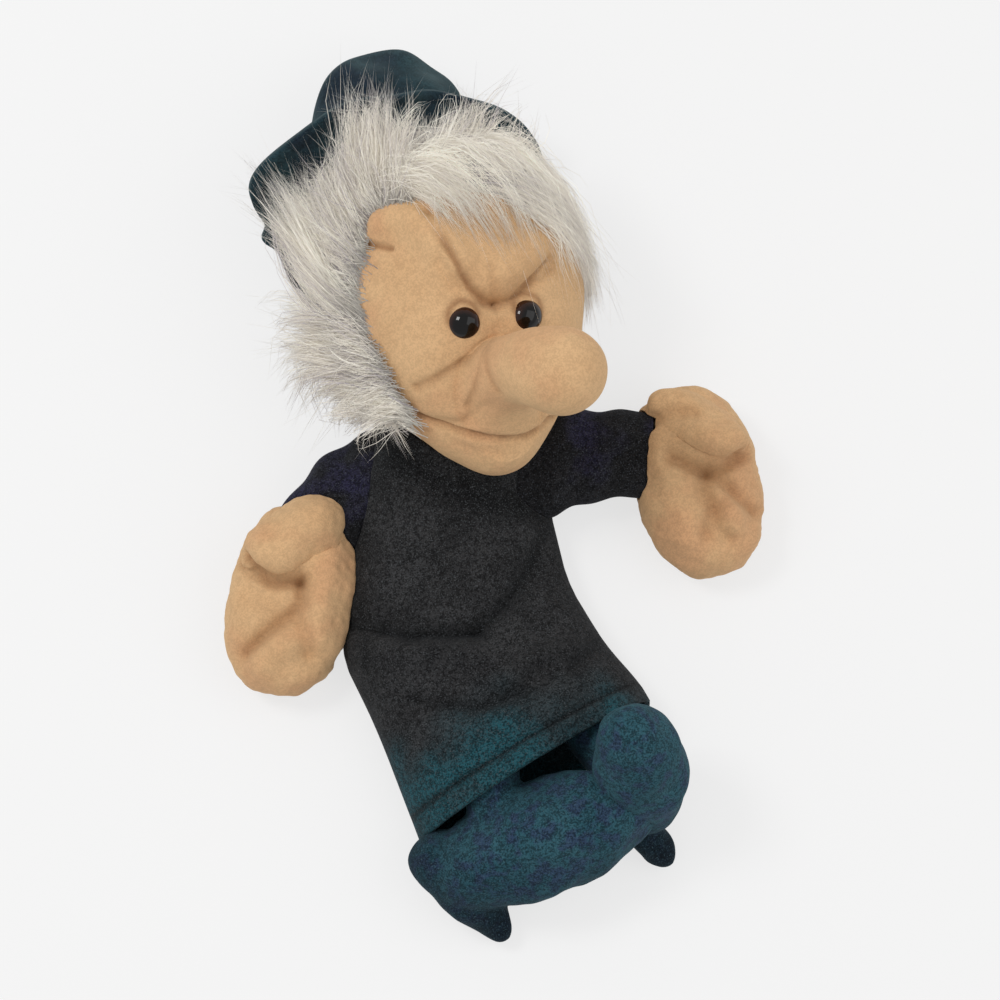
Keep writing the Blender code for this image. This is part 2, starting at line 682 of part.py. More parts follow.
def glove_skin(angle, share, offset=0.0):
    """Points of the glove's skin: a flat back, a round front and seams at its two sides."""
    y, middle, half, height = glove_section(share)
    wide = half + offset
    x = middle - wide * np.cos(angle)
    front = (height - GLOVE_SEAM_HEIGHT + offset) * np.abs(np.sin(angle))
    round_down = np.minimum(1.0, BACK_FLATNESS * np.sqrt(np.abs(np.sin(angle))))
    back = (GLOVE_SEAM_HEIGHT - VELOUR_WALL / 2 + offset) * round_down
    folds = sum(
        fold_height * stroke(np.column_stack([x, y]), line, width)
        for line, fold_height, width in GLOVE_FOLDS) * np.abs(np.sin(angle))
    z = GLOVE_SEAM_HEIGHT + np.where(np.sin(angle) >= 0, front + folds, -back)
    hem = smooth_step(1 - share / HEM_SHARE)
    y = y + hem * (x - middle) * math.tan(math.radians(HEM_TURN))
    return np.column_stack([x, y, z])


def glove_panel(front, past=0.0):
    """The shape of the front or back panel, seam to seam, from a share past its hem to its neck."""
    def shape(across, along):
        sag = past + (0.0 if front else BACK_SAG) * np.sin(math.pi * across)
        along = along - sag * (1 - along)
        angle = math.pi * across if front else -math.pi * across
        points = glove_skin(angle, along)
        points[:, 2] += SEAM_GAP / 2 if front else 0.0
        if not front:
            points[:, 2] -= SEAM_GAP / 2 * (1 - np.sin(math.pi * across))
            points[:, 2] = np.maximum(points[:, 2], VELOUR_WALL / 2)
        return points

    return shape


def glove_block(offset):
    """A closed block of the glove's outline, grown by an offset."""
    def shape(polar, azimuth):
        share = polar / math.pi
        along = np.clip((share - GLOVE_CAP_SHARE) / (1 - 2 * GLOVE_CAP_SHARE), 0, 1)
        along = along * (1 + 2 * HEM_ROOM) - HEM_ROOM
        points = glove_skin(azimuth, along, offset)
        y, middle, _, height = glove_section(along)
        centre = np.column_stack([middle, y, height / 2])
        return np.where((np.sin(polar) > POLE_SINE)[:, None], points, centre)

    return shape


def make_glove(shop, place):
    """The glove's two panels, cut to the head, and opened for the sleeves."""
    front = shop.piece("glove_front", sheet("glove_front", FRONT_DIVISIONS, glove_panel(True)), "velour")
    back = shop.piece("glove_back", sheet("glove_back", BACK_DIVISIONS, glove_panel(False)), "velour")
    room = shop.cutter("head_room", ball("head_room", GLOVE_ROOM_DIVISIONS, head_room_shape(place)), place)
    for panel in (front, back):
        thicken(panel, VELOUR_WALL)
        combine(panel, room, "DIFFERENCE")
    return front, back


def head_room_shape(place):
    """The head's shape without its nose, grown by the gap that two skins keep."""
    def shape(polar, azimuth):
        directions = np.column_stack([
            np.sin(polar) * np.cos(azimuth), np.sin(polar) * np.sin(azimuth), np.cos(polar)])
        return head_skin(directions, place, NECK_GAP)

    return shape


def sleeve_point(way, share, angle, offset):
    """Points of a sleeve's skin along and around its way."""
    middle, run = bezier(np.array(way, float) * MM, share)
    side = np.cross(run, (0, 0, 1))
    side /= np.linalg.norm(side, axis=1)[:, None]
    over = np.cross(side, run)
    width = SLEEVE_SHOULDER[0] + (SLEEVE_WRIST[0] - SLEEVE_SHOULDER[0]) * share + offset
    height = SLEEVE_SHOULDER[1] + (SLEEVE_WRIST[1] - SLEEVE_SHOULDER[1]) * share + offset
    return middle + (width * np.cos(angle))[:, None] * side + (height * np.sin(angle))[:, None] * over


def sleeve_block(way, offset):
    """A closed block of a sleeve's outline, grown by an offset and moved on by the gap at its cuff."""
    def shape(polar, azimuth):
        share = polar / math.pi
        along = np.clip((share - SLEEVE_CAP_SHARE) / (1 - 2 * SLEEVE_CAP_SHARE), 0, 1)
        middle, run = bezier(np.array(way, float) * MM, along)
        skin = sleeve_point(way, along, azimuth, offset)
        points = np.where((np.sin(polar) > POLE_SINE)[:, None], skin, middle)
        return points + run * (CUFF_GAP * along)[:, None]

    return shape


def make_sleeve(side, way, shop, panels, inside):
    """One sleeve, a tube that starts in a hole of the glove; returns the room it needs."""
    name = "sleeve_" + side

    def shape(around, along):
        return sleeve_point(way, along, 2 * math.pi * around, 0.0)

    sleeve = thicken(shop.piece(name, sheet(name, SLEEVE_DIVISIONS, shape), "velour"), VELOUR_WALL)
    combine(sleeve, inside, "DIFFERENCE")
    block = sleeve_block(way, VELOUR_WALL / 2 + SEAM_GAP)
    room = shop.cutter(name + "_room", ball(name + "_room", SLEEVE_ROOM_DIVISIONS, block))
    for panel in panels:
        combine(panel, room, "DIFFERENCE")
    return room


def hand_shape(place, folds):
    """The mitten's shape: a soft oval pad with rolls and creases in its palm."""
    radii = np.array([HAND_WIDTH, HAND_LENGTH, HAND_THICKNESS])

    def shape(polar, azimuth):
        directions = np.column_stack([
            np.sin(polar) * np.cos(azimuth), np.cos(polar), np.sin(polar) * np.sin(azimuth)])
        square = np.sign(directions) * np.abs(directions) ** HAND_SQUARENESS
        points = square * radii
        swell = np.zeros(len(points))
        for line, height, width in folds:
            swell += height * stroke(points, line, width)
        points = points + swell[:, None] * directions
        return place.keep_above(points, 0.0)

    return shape


def make_hand(side, spot, thumb, folds, way, shop, rooms):
    """One stuffed hand, with its cuff on the sleeve's end and a blind hole for a fingertip."""
    origin, turn = spot
    place = Place("hand_place_" + side, np.array(origin) * MM, (0, 0, turn), shop.parts)
    name = "hand_" + side
    hand = shop.piece(name, ball(name, HAND_DIVISIONS, hand_shape(place, folds)), "skin", place)
    roll = shop.cutter(name + "_thumb", ball(name + "_thumb", LIMB_DIVISIONS, limb(*thumb)), place)
    combine(hand, roll, "UNION")
    for room in rooms:
        combine(hand, room, "DIFFERENCE")
    end, run = bezier(np.array(way, float) * MM, [1.0])
    hole = [
        (0.0, FINGERTIP_DEPTH), (FINGERTIP_RADIUS, FINGERTIP_DEPTH), (FINGERTIP_RADIUS, -GAP), (0.0, -GAP),
    ]
    tip = shop.cutter(name + "_tip", turned(name + "_tip", hole, False, TURNED_SIDES))
    tip.location = end[0]
    tip.rotation_euler = Vector(run[0]).to_track_quat("Z", "Y").to_euler()
    combine(hand, tip, "DIFFERENCE")


def oval(centre, axis, radii, grow=0.0, power=FOOT_SQUARENESS, flare=0.0):
    """A soft oval, long along its axis, wider to its end by a flare, and flat where it meets Z = 0."""
    way = unit(axis)
    across = unit(np.cross((0, 1, 0.01), way))
    over = np.cross(way, across)
    long, wide, tall = np.array(radii) * MM + grow

    def shape(polar, azimuth):
        along = np.sign(np.cos(polar)) * np.abs(np.cos(polar)) ** power
        points = np.array(centre) * MM + (long * along)[:, None] * way
        ring = np.sin(polar) * (1 + flare * along)
        points = points + (wide * ring * np.cos(azimuth))[:, None] * across
        points = points + (tall * ring * np.sin(azimuth))[:, None] * over
        points[:, 2] = rest_on(points[:, 2], -grow)
        return points

    return shape


def limb(start, end, start_radius, end_radius, grow=0.0):
    """A round ended limb between two points, with a radius for each."""
    start = np.array(start, float)
    end = np.array(end, float)
    radius = (start_radius + end_radius) / 2
    flare = (end_radius - start_radius) / (end_radius + start_radius)
    middle = (start + end) / 2 + unit(end - start) * radius * flare
    length = np.linalg.norm(end - start) / 2 + radius
    return oval(middle, end - start, (length, radius, radius), grow, LIMB_SQUARENESS, flare)


def make_boot(side, foot, leg, nub, shop, rooms):
    """One stuffed bootie: its foot, its leg up into the hem and the nub of its heel."""
    name = "boot_" + side
    boot = shop.piece(name, ball(name, FOOT_DIVISIONS, oval(*foot)), "boot")
    for part, block in (("leg", leg), ("nub", nub)):
        extra = shop.cutter(name + "_" + part, ball(name + "_" + part, LIMB_DIVISIONS, limb(*block)))
        combine(boot, extra, "UNION")
    for room in rooms:
        combine(boot, room, "DIFFERENCE")


def make_wig(shop, place, outside):
    """The fur wig, cut to the glove at the neck."""
    wig = shop.piece("wig", ball("wig", WIG_DIVISIONS, wig_shape(place)), "fur", place)
    combine(wig, outside, "DIFFERENCE")
    return wig


def hem_rooms(shop):
    """The rooms of the glove's two panels, which the boots' legs keep out of."""
    rooms = []
    for name, divisions, front in (("front", FRONT_DIVISIONS, True), ("back", BACK_DIVISIONS, False)):
        mesh = sheet(name + "_room", divisions, glove_panel(front, HEM_ROOM))
        rooms.append(thicken(shop.cutter(name + "_room", mesh), VELOUR_WALL + 2 * GAP))
    return rooms


def boot_rooms(shop):
    """The rooms of the left boot's three parts, which the right boot keeps out of."""
    shapes = {
        "foot": oval(*BOOT_LEFT_FOOT, GAP),
        "leg": limb(*BOOT_LEFT_LEG, GAP),
        "nub": limb(*BOOT_LEFT_NUB, GAP),
    }
    rooms = []
    for part, shape in shapes.items():
        name = "boot_left_room_" + part
        rooms.append(shop.cutter(name, ball(name, FOOT_DIVISIONS, shape)))
    return rooms


def main():
    """Make the puppet."""
    clear_scene()
    shop = Workshop()
    head_place = Place("head_place", HEAD_CENTRE, HEAD_TURN, shop.parts)
    make_head(shop, head_place)
    make_hat(shop)
    panels = make_glove(shop, head_place)
    inside_mesh = ball("glove_inside", GLOVE_ROOM_DIVISIONS, glove_block(-VELOUR_WALL / 2))
    inside = shop.cutter("glove_inside", inside_mesh)
    outside_mesh = ball("glove_outside", GLOVE_ROOM_DIVISIONS, glove_block(VELOUR_WALL / 2 + SKIN_GAP))
    outside = shop.cutter("glove_outside", outside_mesh)
    wig = make_wig(shop, head_place, outside)
    left_room = make_sleeve("left", SLEEVE_LEFT, shop, panels, inside)
    make_hand("left", HAND_LEFT, THUMB_LEFT, PALM_LEFT, SLEEVE_LEFT, shop, (left_room, outside))
    right_room = make_sleeve("right", SLEEVE_RIGHT, shop, panels, inside)
    make_hand("right", HAND_RIGHT, THUMB_RIGHT, PALM_RIGHT, SLEEVE_RIGHT, shop, (right_room, outside))
    combine(wig, right_room, "DIFFERENCE")
    rooms = hem_rooms(shop)
    make_boot("left", BOOT_LEFT_FOOT, BOOT_LEFT_LEG, BOOT_LEFT_NUB, shop, rooms)
    rooms += boot_rooms(shop)
    make_boot("right", BOOT_RIGHT_FOOT, BOOT_RIGHT_LEG, BOOT_RIGHT_NUB, shop, rooms)


main()
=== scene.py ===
"""Dresses the finger puppet: fleece skin, fur wig, velour hat, glove and boots, and glossy eyes.

The puppet lies on its back. +Z is up and is its front, +Y runs to its head. Lengths are in metres.
Its forms follow the solids of the model: each class holds the sizes of one sub-assembly.
"""

import logging
import math
from collections.abc import Callable, Sequence
from dataclasses import dataclass, field
from enum import Enum

import bpy
import numpy as np
from mathutils import Euler, Matrix, Vector


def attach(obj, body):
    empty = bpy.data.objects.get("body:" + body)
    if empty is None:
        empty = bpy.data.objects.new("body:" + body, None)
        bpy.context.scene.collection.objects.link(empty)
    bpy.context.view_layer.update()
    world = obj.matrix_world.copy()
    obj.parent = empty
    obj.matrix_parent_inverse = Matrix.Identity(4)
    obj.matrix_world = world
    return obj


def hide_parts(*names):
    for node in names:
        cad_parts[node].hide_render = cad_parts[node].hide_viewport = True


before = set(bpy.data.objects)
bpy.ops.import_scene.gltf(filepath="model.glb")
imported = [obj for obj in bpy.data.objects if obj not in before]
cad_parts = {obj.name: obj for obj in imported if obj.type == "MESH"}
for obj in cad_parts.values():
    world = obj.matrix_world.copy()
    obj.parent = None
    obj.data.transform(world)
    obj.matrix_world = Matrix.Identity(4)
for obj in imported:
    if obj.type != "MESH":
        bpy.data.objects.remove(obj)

LOG = logging.getLogger("finger_puppet")
MM = 0.001
Piece = bpy.types.Object
Finish = bpy.types.Material
Socket = bpy.types.NodeSocket
Shape = Callable[[np.ndarray, np.ndarray], np.ndarray]
Line = Sequence[Sequence[float]]
Carving = Callable[[np.ndarray, np.ndarray], tuple[np.ndarray, dict[str, np.ndarray]]]


class Slot(Enum):
    """The finishes of the puppet, by their names in the record."""

    SKIN = "skin"
    EYE = "eye"
    WASHER = "washer"
    LINING = "lining"
    FUR = "fur"
    HAT = "hat"
    VELOUR = "velour"
    BOOT = "boot"


# Sums that the shapes share


def unit(vector: Sequence[float] | np.ndarray) -> np.ndarray:
    """The vector at a length of one."""
    vector = np.asarray(vector, float)
    return vector / np.linalg.norm(vector)


def rows_unit(vectors: np.ndarray) -> np.ndarray:
    """Each row at a length of one."""
    return vectors / np.maximum(np.linalg.norm(vectors, axis=-1, keepdims=True), 1e-12)


def smooth_step(share: np.ndarray | float) -> np.ndarray:
    """Nought to one, level at both ends: 3 s squared less 2 s cubed."""
    share = np.clip(share, 0, 1)
    return share * share * (3 - 2 * share)


def rest_on(heights: np.ndarray, floor: np.ndarray | float, edge: float = 1.5 * MM) -> np.ndarray:
    """Press heights on a floor.

    Below the floor they lie flat on it, and over a soft edge they round up from it as a square.

    Args:
        heights: The heights to press.
        floor: The floor under them.
        edge: The height of the soft edge.

    Returns:
        The pressed heights.
    """
    above = (heights - floor) / edge
    return floor + edge * np.where(above > 1, above, np.maximum(above + 1, 0) ** 2 / 4)


def lobe(directions: np.ndarray, peak: Sequence[float], spread: float) -> np.ndarray:
    """A bell over the angle between directions and a peak.

    Args:
        directions: Unit directions in rows.
        peak: The direction at which the bell is one.
        spread: The angle in degrees at which it has fallen to one part in e.

    Returns:
        The bell's height for each direction.
    """
    angle = np.degrees(np.arccos(np.clip(directions @ unit(peak), -1, 1)))
    return np.exp(-(angle / spread) ** 2)


def line_distance(points: np.ndarray, line: Line) -> np.ndarray:
    """The distance of points from a broken line whose points are in mm.

    Args:
        points: Points in rows.
        line: The line's points in mm.

    Returns:
        The shortest distance of each point from the line.
    """
    marks = np.array(line, float) * MM
    nearest = np.full(len(points), np.inf)
    for start, end in zip(marks[:-1], marks[1:]):
        run = end - start
        share = np.clip(((points - start) @ run) / (run @ run), 0, 1)
        nearest = np.minimum(nearest, np.linalg.norm(points - start - share[:, None] * run, axis=1))
    return nearest


def stroke(points: np.ndarray, line: Line, width: float) -> np.ndarray:
    """A bell over the distance from a line: e to the power of minus the square of distance by width.

    Args:
        points: Points in rows.
        line: The line's points in mm.
        width: The distance at which the bell has fallen to one part in e.

    Returns:
        The bell's height for each point.
    """
    return np.exp(-(line_distance(points, line) / width) ** 2)


def bezier(marks: Sequence[Sequence[float]], share: np.ndarray) -> tuple[np.ndarray, np.ndarray]:
    """A place and a direction on the square curve drawn by three points.

    Args:
        marks: The curve's start, its bend and its end.
        share: The way along the curve, nought to one.

    Returns:
        The places and the unit directions, in rows.
    """
    first, middle, last = [np.array(mark, float) for mark in marks]
    share = np.asarray(share, float)[:, None]
    place = (1 - share) ** 2 * first + 2 * share * (1 - share) * middle + share ** 2 * last
    run = 2 * (1 - share) * (middle - first) + 2 * share * (last - middle)
    return place, rows_unit(run)


def ripple(points: np.ndarray, length: float, seed: int, waves: int = 7) -> np.ndarray:
    """A soft irregular swell: a sum of sine waves in set directions, about minus one to one.

    Args:
        points: Points in rows.
        length: The mean length of the waves.
        seed: The number that sets their directions and starts.
        waves: How many waves are summed.

    Returns:
        The swell at each point.
    """
    dice = np.random.default_rng(seed)
    ways = rows_unit(dice.normal(size=(waves, 3))) * dice.uniform(0.6, 1.6, (waves, 1))
    starts = dice.uniform(0, 2 * math.pi, waves)
    return np.sin(points @ ways.T * (2 * math.pi / length) + starts).sum(axis=1) / math.sqrt(waves)


@dataclass
class Place:
    """A frame of its own for some shapes, and the sums between it and the world.

    Attributes:
        origin: The frame's origin in the world.
        turn: Its turn about X, Y and Z in degrees.
    """

    origin: tuple[float, float, float]
    turn: tuple[float, float, float]
    matrix: np.ndarray = field(init=False)

    def __post_init__(self) -> None:
        """Work out the frame's turning matrix."""
        self.matrix = np.array(Euler([math.radians(angle) for angle in self.turn]).to_matrix())

    def to_world(self, points: np.ndarray) -> np.ndarray:
        """World points of points in this frame."""
        return points @ self.matrix.T + np.array(self.origin)

    def to_local(self, points: np.ndarray) -> np.ndarray:
        """Points in this frame of world points."""
        return (points - np.array(self.origin)) @ self.matrix

    def direction(self, vector: Sequence[float]) -> np.ndarray:
        """This frame's direction of a world direction."""
        return unit(vector) @ self.matrix

    def keep_above(self, points: np.ndarray, height: np.ndarray | float) -> np.ndarray:
        """Raise points that are lower in the world than a height to it, round a soft edge.

        Args:
            points: Points in this frame.
            height: The height.

        Returns:
            The points in this frame.
        """
        world = self.to_world(points)
        world[:, 2] = rest_on(world[:, 2], height)
        return self.to_local(world)


# Meshes


@dataclass
class Skin:
    """A mesh as arrays: its points, its four-sided and three-sided faces, and values on its points."""

    points: np.ndarray
    quads: np.ndarray
    triangles: np.ndarray
    values: dict[str, np.ndarray] = field(default_factory=dict)

    def volume(self) -> float:
        """The signed volume: a sixth of the sum of each triangle's triple product.

        Returns:
            The volume, below nought where the faces point inwards.
        """
        parts = [self.quads[:, [0, 1, 2]], self.quads[:, [0, 2, 3]], self.triangles]
        corners = self.points[np.concatenate([part.reshape(-1, 3) for part in parts])]
        return float(np.einsum("ij,ij->i", corners[:, 0], np.cross(corners[:, 1], corners[:, 2])).sum() / 6)

    def face_out(self) -> "Skin":
        """Turn a closed mesh's faces outwards.

        Returns:
            The same mesh.
        """
        if self.volume() < 0:
            self.quads = self.quads[:, ::-1]
            self.triangles = self.triangles[:, ::-1]
        return self

    def mesh(self, name: str) -> bpy.types.Mesh:
        """Put the arrays into a mesh.

        Args:
            name: The mesh's name.

        Returns:
            The smooth shaded mesh.
        """
        made = bpy.data.meshes.new(name)
        loops = np.concatenate([self.quads.ravel(), self.triangles.ravel()]).astype(np.int32)
        fours = np.arange(len(self.quads)) * 4
        threes = len(self.quads) * 4 + np.arange(len(self.triangles)) * 3
        made.vertices.add(len(self.points))
        made.vertices.foreach_set("co", self.points.astype(np.float32).ravel())
        made.loops.add(len(loops))
        made.loops.foreach_set("vertex_index", loops)
        made.polygons.add(len(fours) + len(threes))
        made.polygons.foreach_set("loop_start", np.concatenate([fours, threes]).astype(np.int32))
        made.update(calc_edges=True)
        for label, numbers in self.values.items():
            layer = made.attributes.new(label, "FLOAT", "POINT")
            layer.data.foreach_set("value", numbers.astype(np.float32))
        made.validate()
        made.shade_smooth()
        return made


NO_QUADS = np.zeros((0, 4), int)
NO_TRIANGLES = np.zeros((0, 3), int)


def ball(columns: int, rows: int, shape: Shape) -> Skin:
    """A closed skin: a function of the polar angle and the azimuth, on rings between two poles.

    Args:
        columns: The points round each ring.
        rows: The rings.
        shape: The function that gives points for polar angles and azimuths.

    Returns:
        The skin, faced outwards.
    """
    polar, azimuth = np.meshgrid(
        np.linspace(0, math.pi, rows + 2)[1:-1],
        np.linspace(-math.pi, math.pi, columns, endpoint=False),
        indexing="ij",
    )
    polar = np.concatenate([[0.0], polar.ravel(), [math.pi]])
    azimuth = np.concatenate([[0.0], azimuth.ravel(), [0.0]])
    row, column = np.meshgrid(np.arange(rows - 1), np.arange(columns), indexing="ij")
    here = 1 + row * columns + column
    beside = 1 + row * columns + (column + 1) % columns
    quads = np.stack([here, here + columns, beside + columns, beside], axis=-1).reshape(-1, 4)
    around = np.arange(columns)
    nearby = (around + 1) % columns
    last = 1 + rows * columns
    low = 1 + (rows - 1) * columns
    caps = np.concatenate([
        np.stack([np.zeros(columns, int), 1 + around, 1 + nearby], axis=-1),
        np.stack([np.full(columns, last), low + nearby, low + around], axis=-1),
    ])
    return Skin(shape(polar, azimuth), quads, caps).face_out()


def cloth(columns: int, rows: int, shape: Shape, around: bool = False) -> Skin:
    """An open skin: a function of two shares, each nought to one, on a grid.

    Args:
        columns: The faces across.
        rows: The faces along.
        shape: The function that gives points for shares across and along.
        around: Whether the two sides meet.

    Returns:
        The skin.
    """
    wide = columns if around else columns + 1
    across = np.arange(wide) / columns
    second, first = np.meshgrid(np.linspace(0, 1, rows + 1), across, indexing="ij")
    row, column = np.meshgrid(np.arange(rows), np.arange(columns), indexing="ij")
    here = row * wide + column
    beside = row * wide + (column + 1) % wide
    quads = np.stack([here, beside, beside + wide, here + wide], axis=-1).reshape(-1, 4)
    return Skin(shape(first.ravel(), second.ravel()), quads, NO_TRIANGLES)


def lathe(profile: Sequence[tuple[float, float]], sides: int) -> Skin:
    """A closed turned skin: a profile of radius and height carried round Z, with a pole at each end.

    Args:
        profile: Radius and height of each ring, and of the two poles, whose radius is nought.
        sides: The points round each ring.

    Returns:
        The skin, faced outwards.
    """
    rings = np.array(profile, float)

    def shape(polar: np.ndarray, azimuth: np.ndarray) -> np.ndarray:
        """The profile's ring at a polar angle, turned to an azimuth.

        Args:
            polar: The polar angle.
            azimuth: The azimuth.

        Returns:
            Points.
        """
        step = np.rint(polar / math.pi * (len(rings) - 1)).astype(int)
        radius, height = rings[step].T
        return np.stack([radius * np.cos(azimuth), radius * np.sin(azimuth), height], axis=-1)

    return ball(sides, len(rings) - 2, shape)


def put(name: str, data: bpy.types.ID) -> Piece:
    """Put a new object in the scene.

    Args:
        name: Its name.
        data: Its mesh, lamp or camera.

    Returns:
        The object.
    """
    made = bpy.data.objects.new(name, data)
    bpy.context.scene.collection.objects.link(made)
    return made


class Bench:
    """Makes the puppet's pieces, and cuts them with tools that are taken away again."""

    def __init__(self) -> None:
        """Start with no tools."""
        self.tools: list[Piece] = []

    def tool(self, name: str, skin: Skin, wall: float = 0.0) -> Piece:
        """Make a cutting tool.

        Args:
            name: The tool's name.
            skin: Its shape.
            wall: The thickness that an open shape gets, half on each side.

        Returns:
            The tool's object.
        """
        made = put(name, skin.mesh(name))
        if wall:
            self.thicken(made, wall)
        made.hide_render = True
        self.tools.append(made)
        return made

    @staticmethod
    def thicken(piece: Piece, wall: float) -> None:
        """Give an open piece its wall, half on each side.

        Args:
            piece: The piece.
            wall: Its thickness.
        """
        modifier = piece.modifiers.new("wall", "SOLIDIFY")
        modifier.thickness = wall
        modifier.offset = 0.0
        modifier.use_even_offset = True

    @staticmethod
    def combine(piece: Piece, other: Piece, operation: str, solver: str = "EXACT") -> None:
        """Cut a piece by another, or join that one to it.

        Args:
            piece: The piece.
            other: The other object.
            operation: DIFFERENCE or UNION.
            solver: EXACT, or MANIFOLD where the piece is a closed skin that was joined and moved.
        """
        modifier = piece.modifiers.new(operation.lower(), "BOOLEAN")
        modifier.operation = operation
        modifier.solver = solver
        modifier.object = other

    @staticmethod
    def apply(piece: Piece) -> None:
        """Turn a piece's modifiers into its mesh.

        Args:
            piece: The piece.
        """
        graph = bpy.context.evaluated_depsgraph_get()
        worked = bpy.data.meshes.new_from_object(piece.evaluated_get(graph))
        plain = piece.data
        piece.modifiers.clear()
        piece.data = worked
        bpy.data.meshes.remove(plain)
        worked.name = piece.name

    def blend(self, piece: Piece, others: Sequence[Piece], grain: float, passes: int) -> None:
        """Join other shapes to a piece, and round the joints as soft stuffing does.

        Args:
            piece: The piece.
            others: The shapes that are joined to it.
            grain: The size of the faces of the joined skin.
            passes: How often it is smoothed.
        """
        for other in others:
            self.combine(piece, other, "UNION")
        remesh = piece.modifiers.new("grain", "REMESH")
        remesh.mode = "VOXEL"
        remesh.voxel_size = grain
        smooth = piece.modifiers.new("smooth", "SMOOTH")
        smooth.factor = 0.5
        smooth.iterations = passes
        self.apply(piece)

    @staticmethod
    def carve(piece: Piece, work: Carving) -> None:
        """Move a piece's points and set values on them by a function of its points and normals.

        Args:
            piece: The piece.
            work: The function, which gives the new points and the values.
        """
        mesh = piece.data
        flat = np.empty(len(mesh.vertices) * 3, np.float32)
        mesh.vertices.foreach_get("co", flat)
        lean = np.empty(len(mesh.vertices) * 3, np.float32)
        mesh.vertex_normals.foreach_get("vector", lean)
        points, values = work(flat.reshape(-1, 3).astype(float), lean.reshape(-1, 3).astype(float))
        mesh.vertices.foreach_set("co", points.astype(np.float32).ravel())
        for label, numbers in values.items():
            layer = mesh.attributes.get(label) or mesh.attributes.new(label, "FLOAT", "POINT")
            layer.data.foreach_set("value", numbers.astype(np.float32))
        mesh.update()

    def piece(
        self,
        name: str,
        skin: Skin,
        finish: Finish,
        slot: Slot,
        stands_for: Sequence[str],
        wall: float = 0.0,
        rooms: Sequence[Piece] = (),
        joined: Sequence[Piece] = (),
        grain: float = 0.8 * MM,
        passes: int = 8,
        carving: Carving | None = None,
        solver: str = "EXACT",
    ) -> Piece:
        """Make a finished piece.

        Args:
            name: Its name.
            skin: Its shape.
            finish: Its material.
            slot: The record's slot for that material; not used.
            stands_for: The solids that it stands for.
            wall: The thickness that an open shape gets.
            rooms: The tools that cut it.
            joined: The tools that are joined to it.
            grain: The size of its faces where tools are joined to it.
            passes: How often it is then smoothed.
            carving: The function that then moves its points.
            solver: The solver of the cuts.

        Returns:
            The piece's object.
        """
        made = put(name, skin.mesh(name))
        if wall:
            self.thicken(made, wall)
        if joined:
            self.blend(made, joined, grain, passes)
        if carving:
            self.carve(made, carving)
        for other in rooms:
            self.combine(made, other, "DIFFERENCE", solver)
        if made.modifiers:
            self.apply(made)
        made.data.materials.clear()
        made.data.materials.append(finish)
        made.data.shade_smooth()
        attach(made, "root")
        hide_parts(*stands_for)
        LOG.info("%s: %d faces", name, len(made.data.polygons))
        return made

    def clear(self) -> None:
        """Take the tools away."""
        for made in self.tools:
            mesh = made.data
            bpy.data.objects.remove(made)
            bpy.data.meshes.remove(mesh)
        self.tools = []


# Finishes


def linear(code: str) -> tuple[float, float, float, float]:
    """A Blender colour from a screen colour code.

    Args:
        code: A hash and six hexadecimal digits.

    Returns:
        Red, green, blue and a full alpha.
    """
    channels = [int(code[i:i + 2], 16) / 255 for i in (1, 3, 5)]
    red, green, blue = [c / 12.92 if c <= 0.04045 else ((c + 0.055) / 1.055) ** 2.4 for c in channels]
    return red, green, blue, 1.0


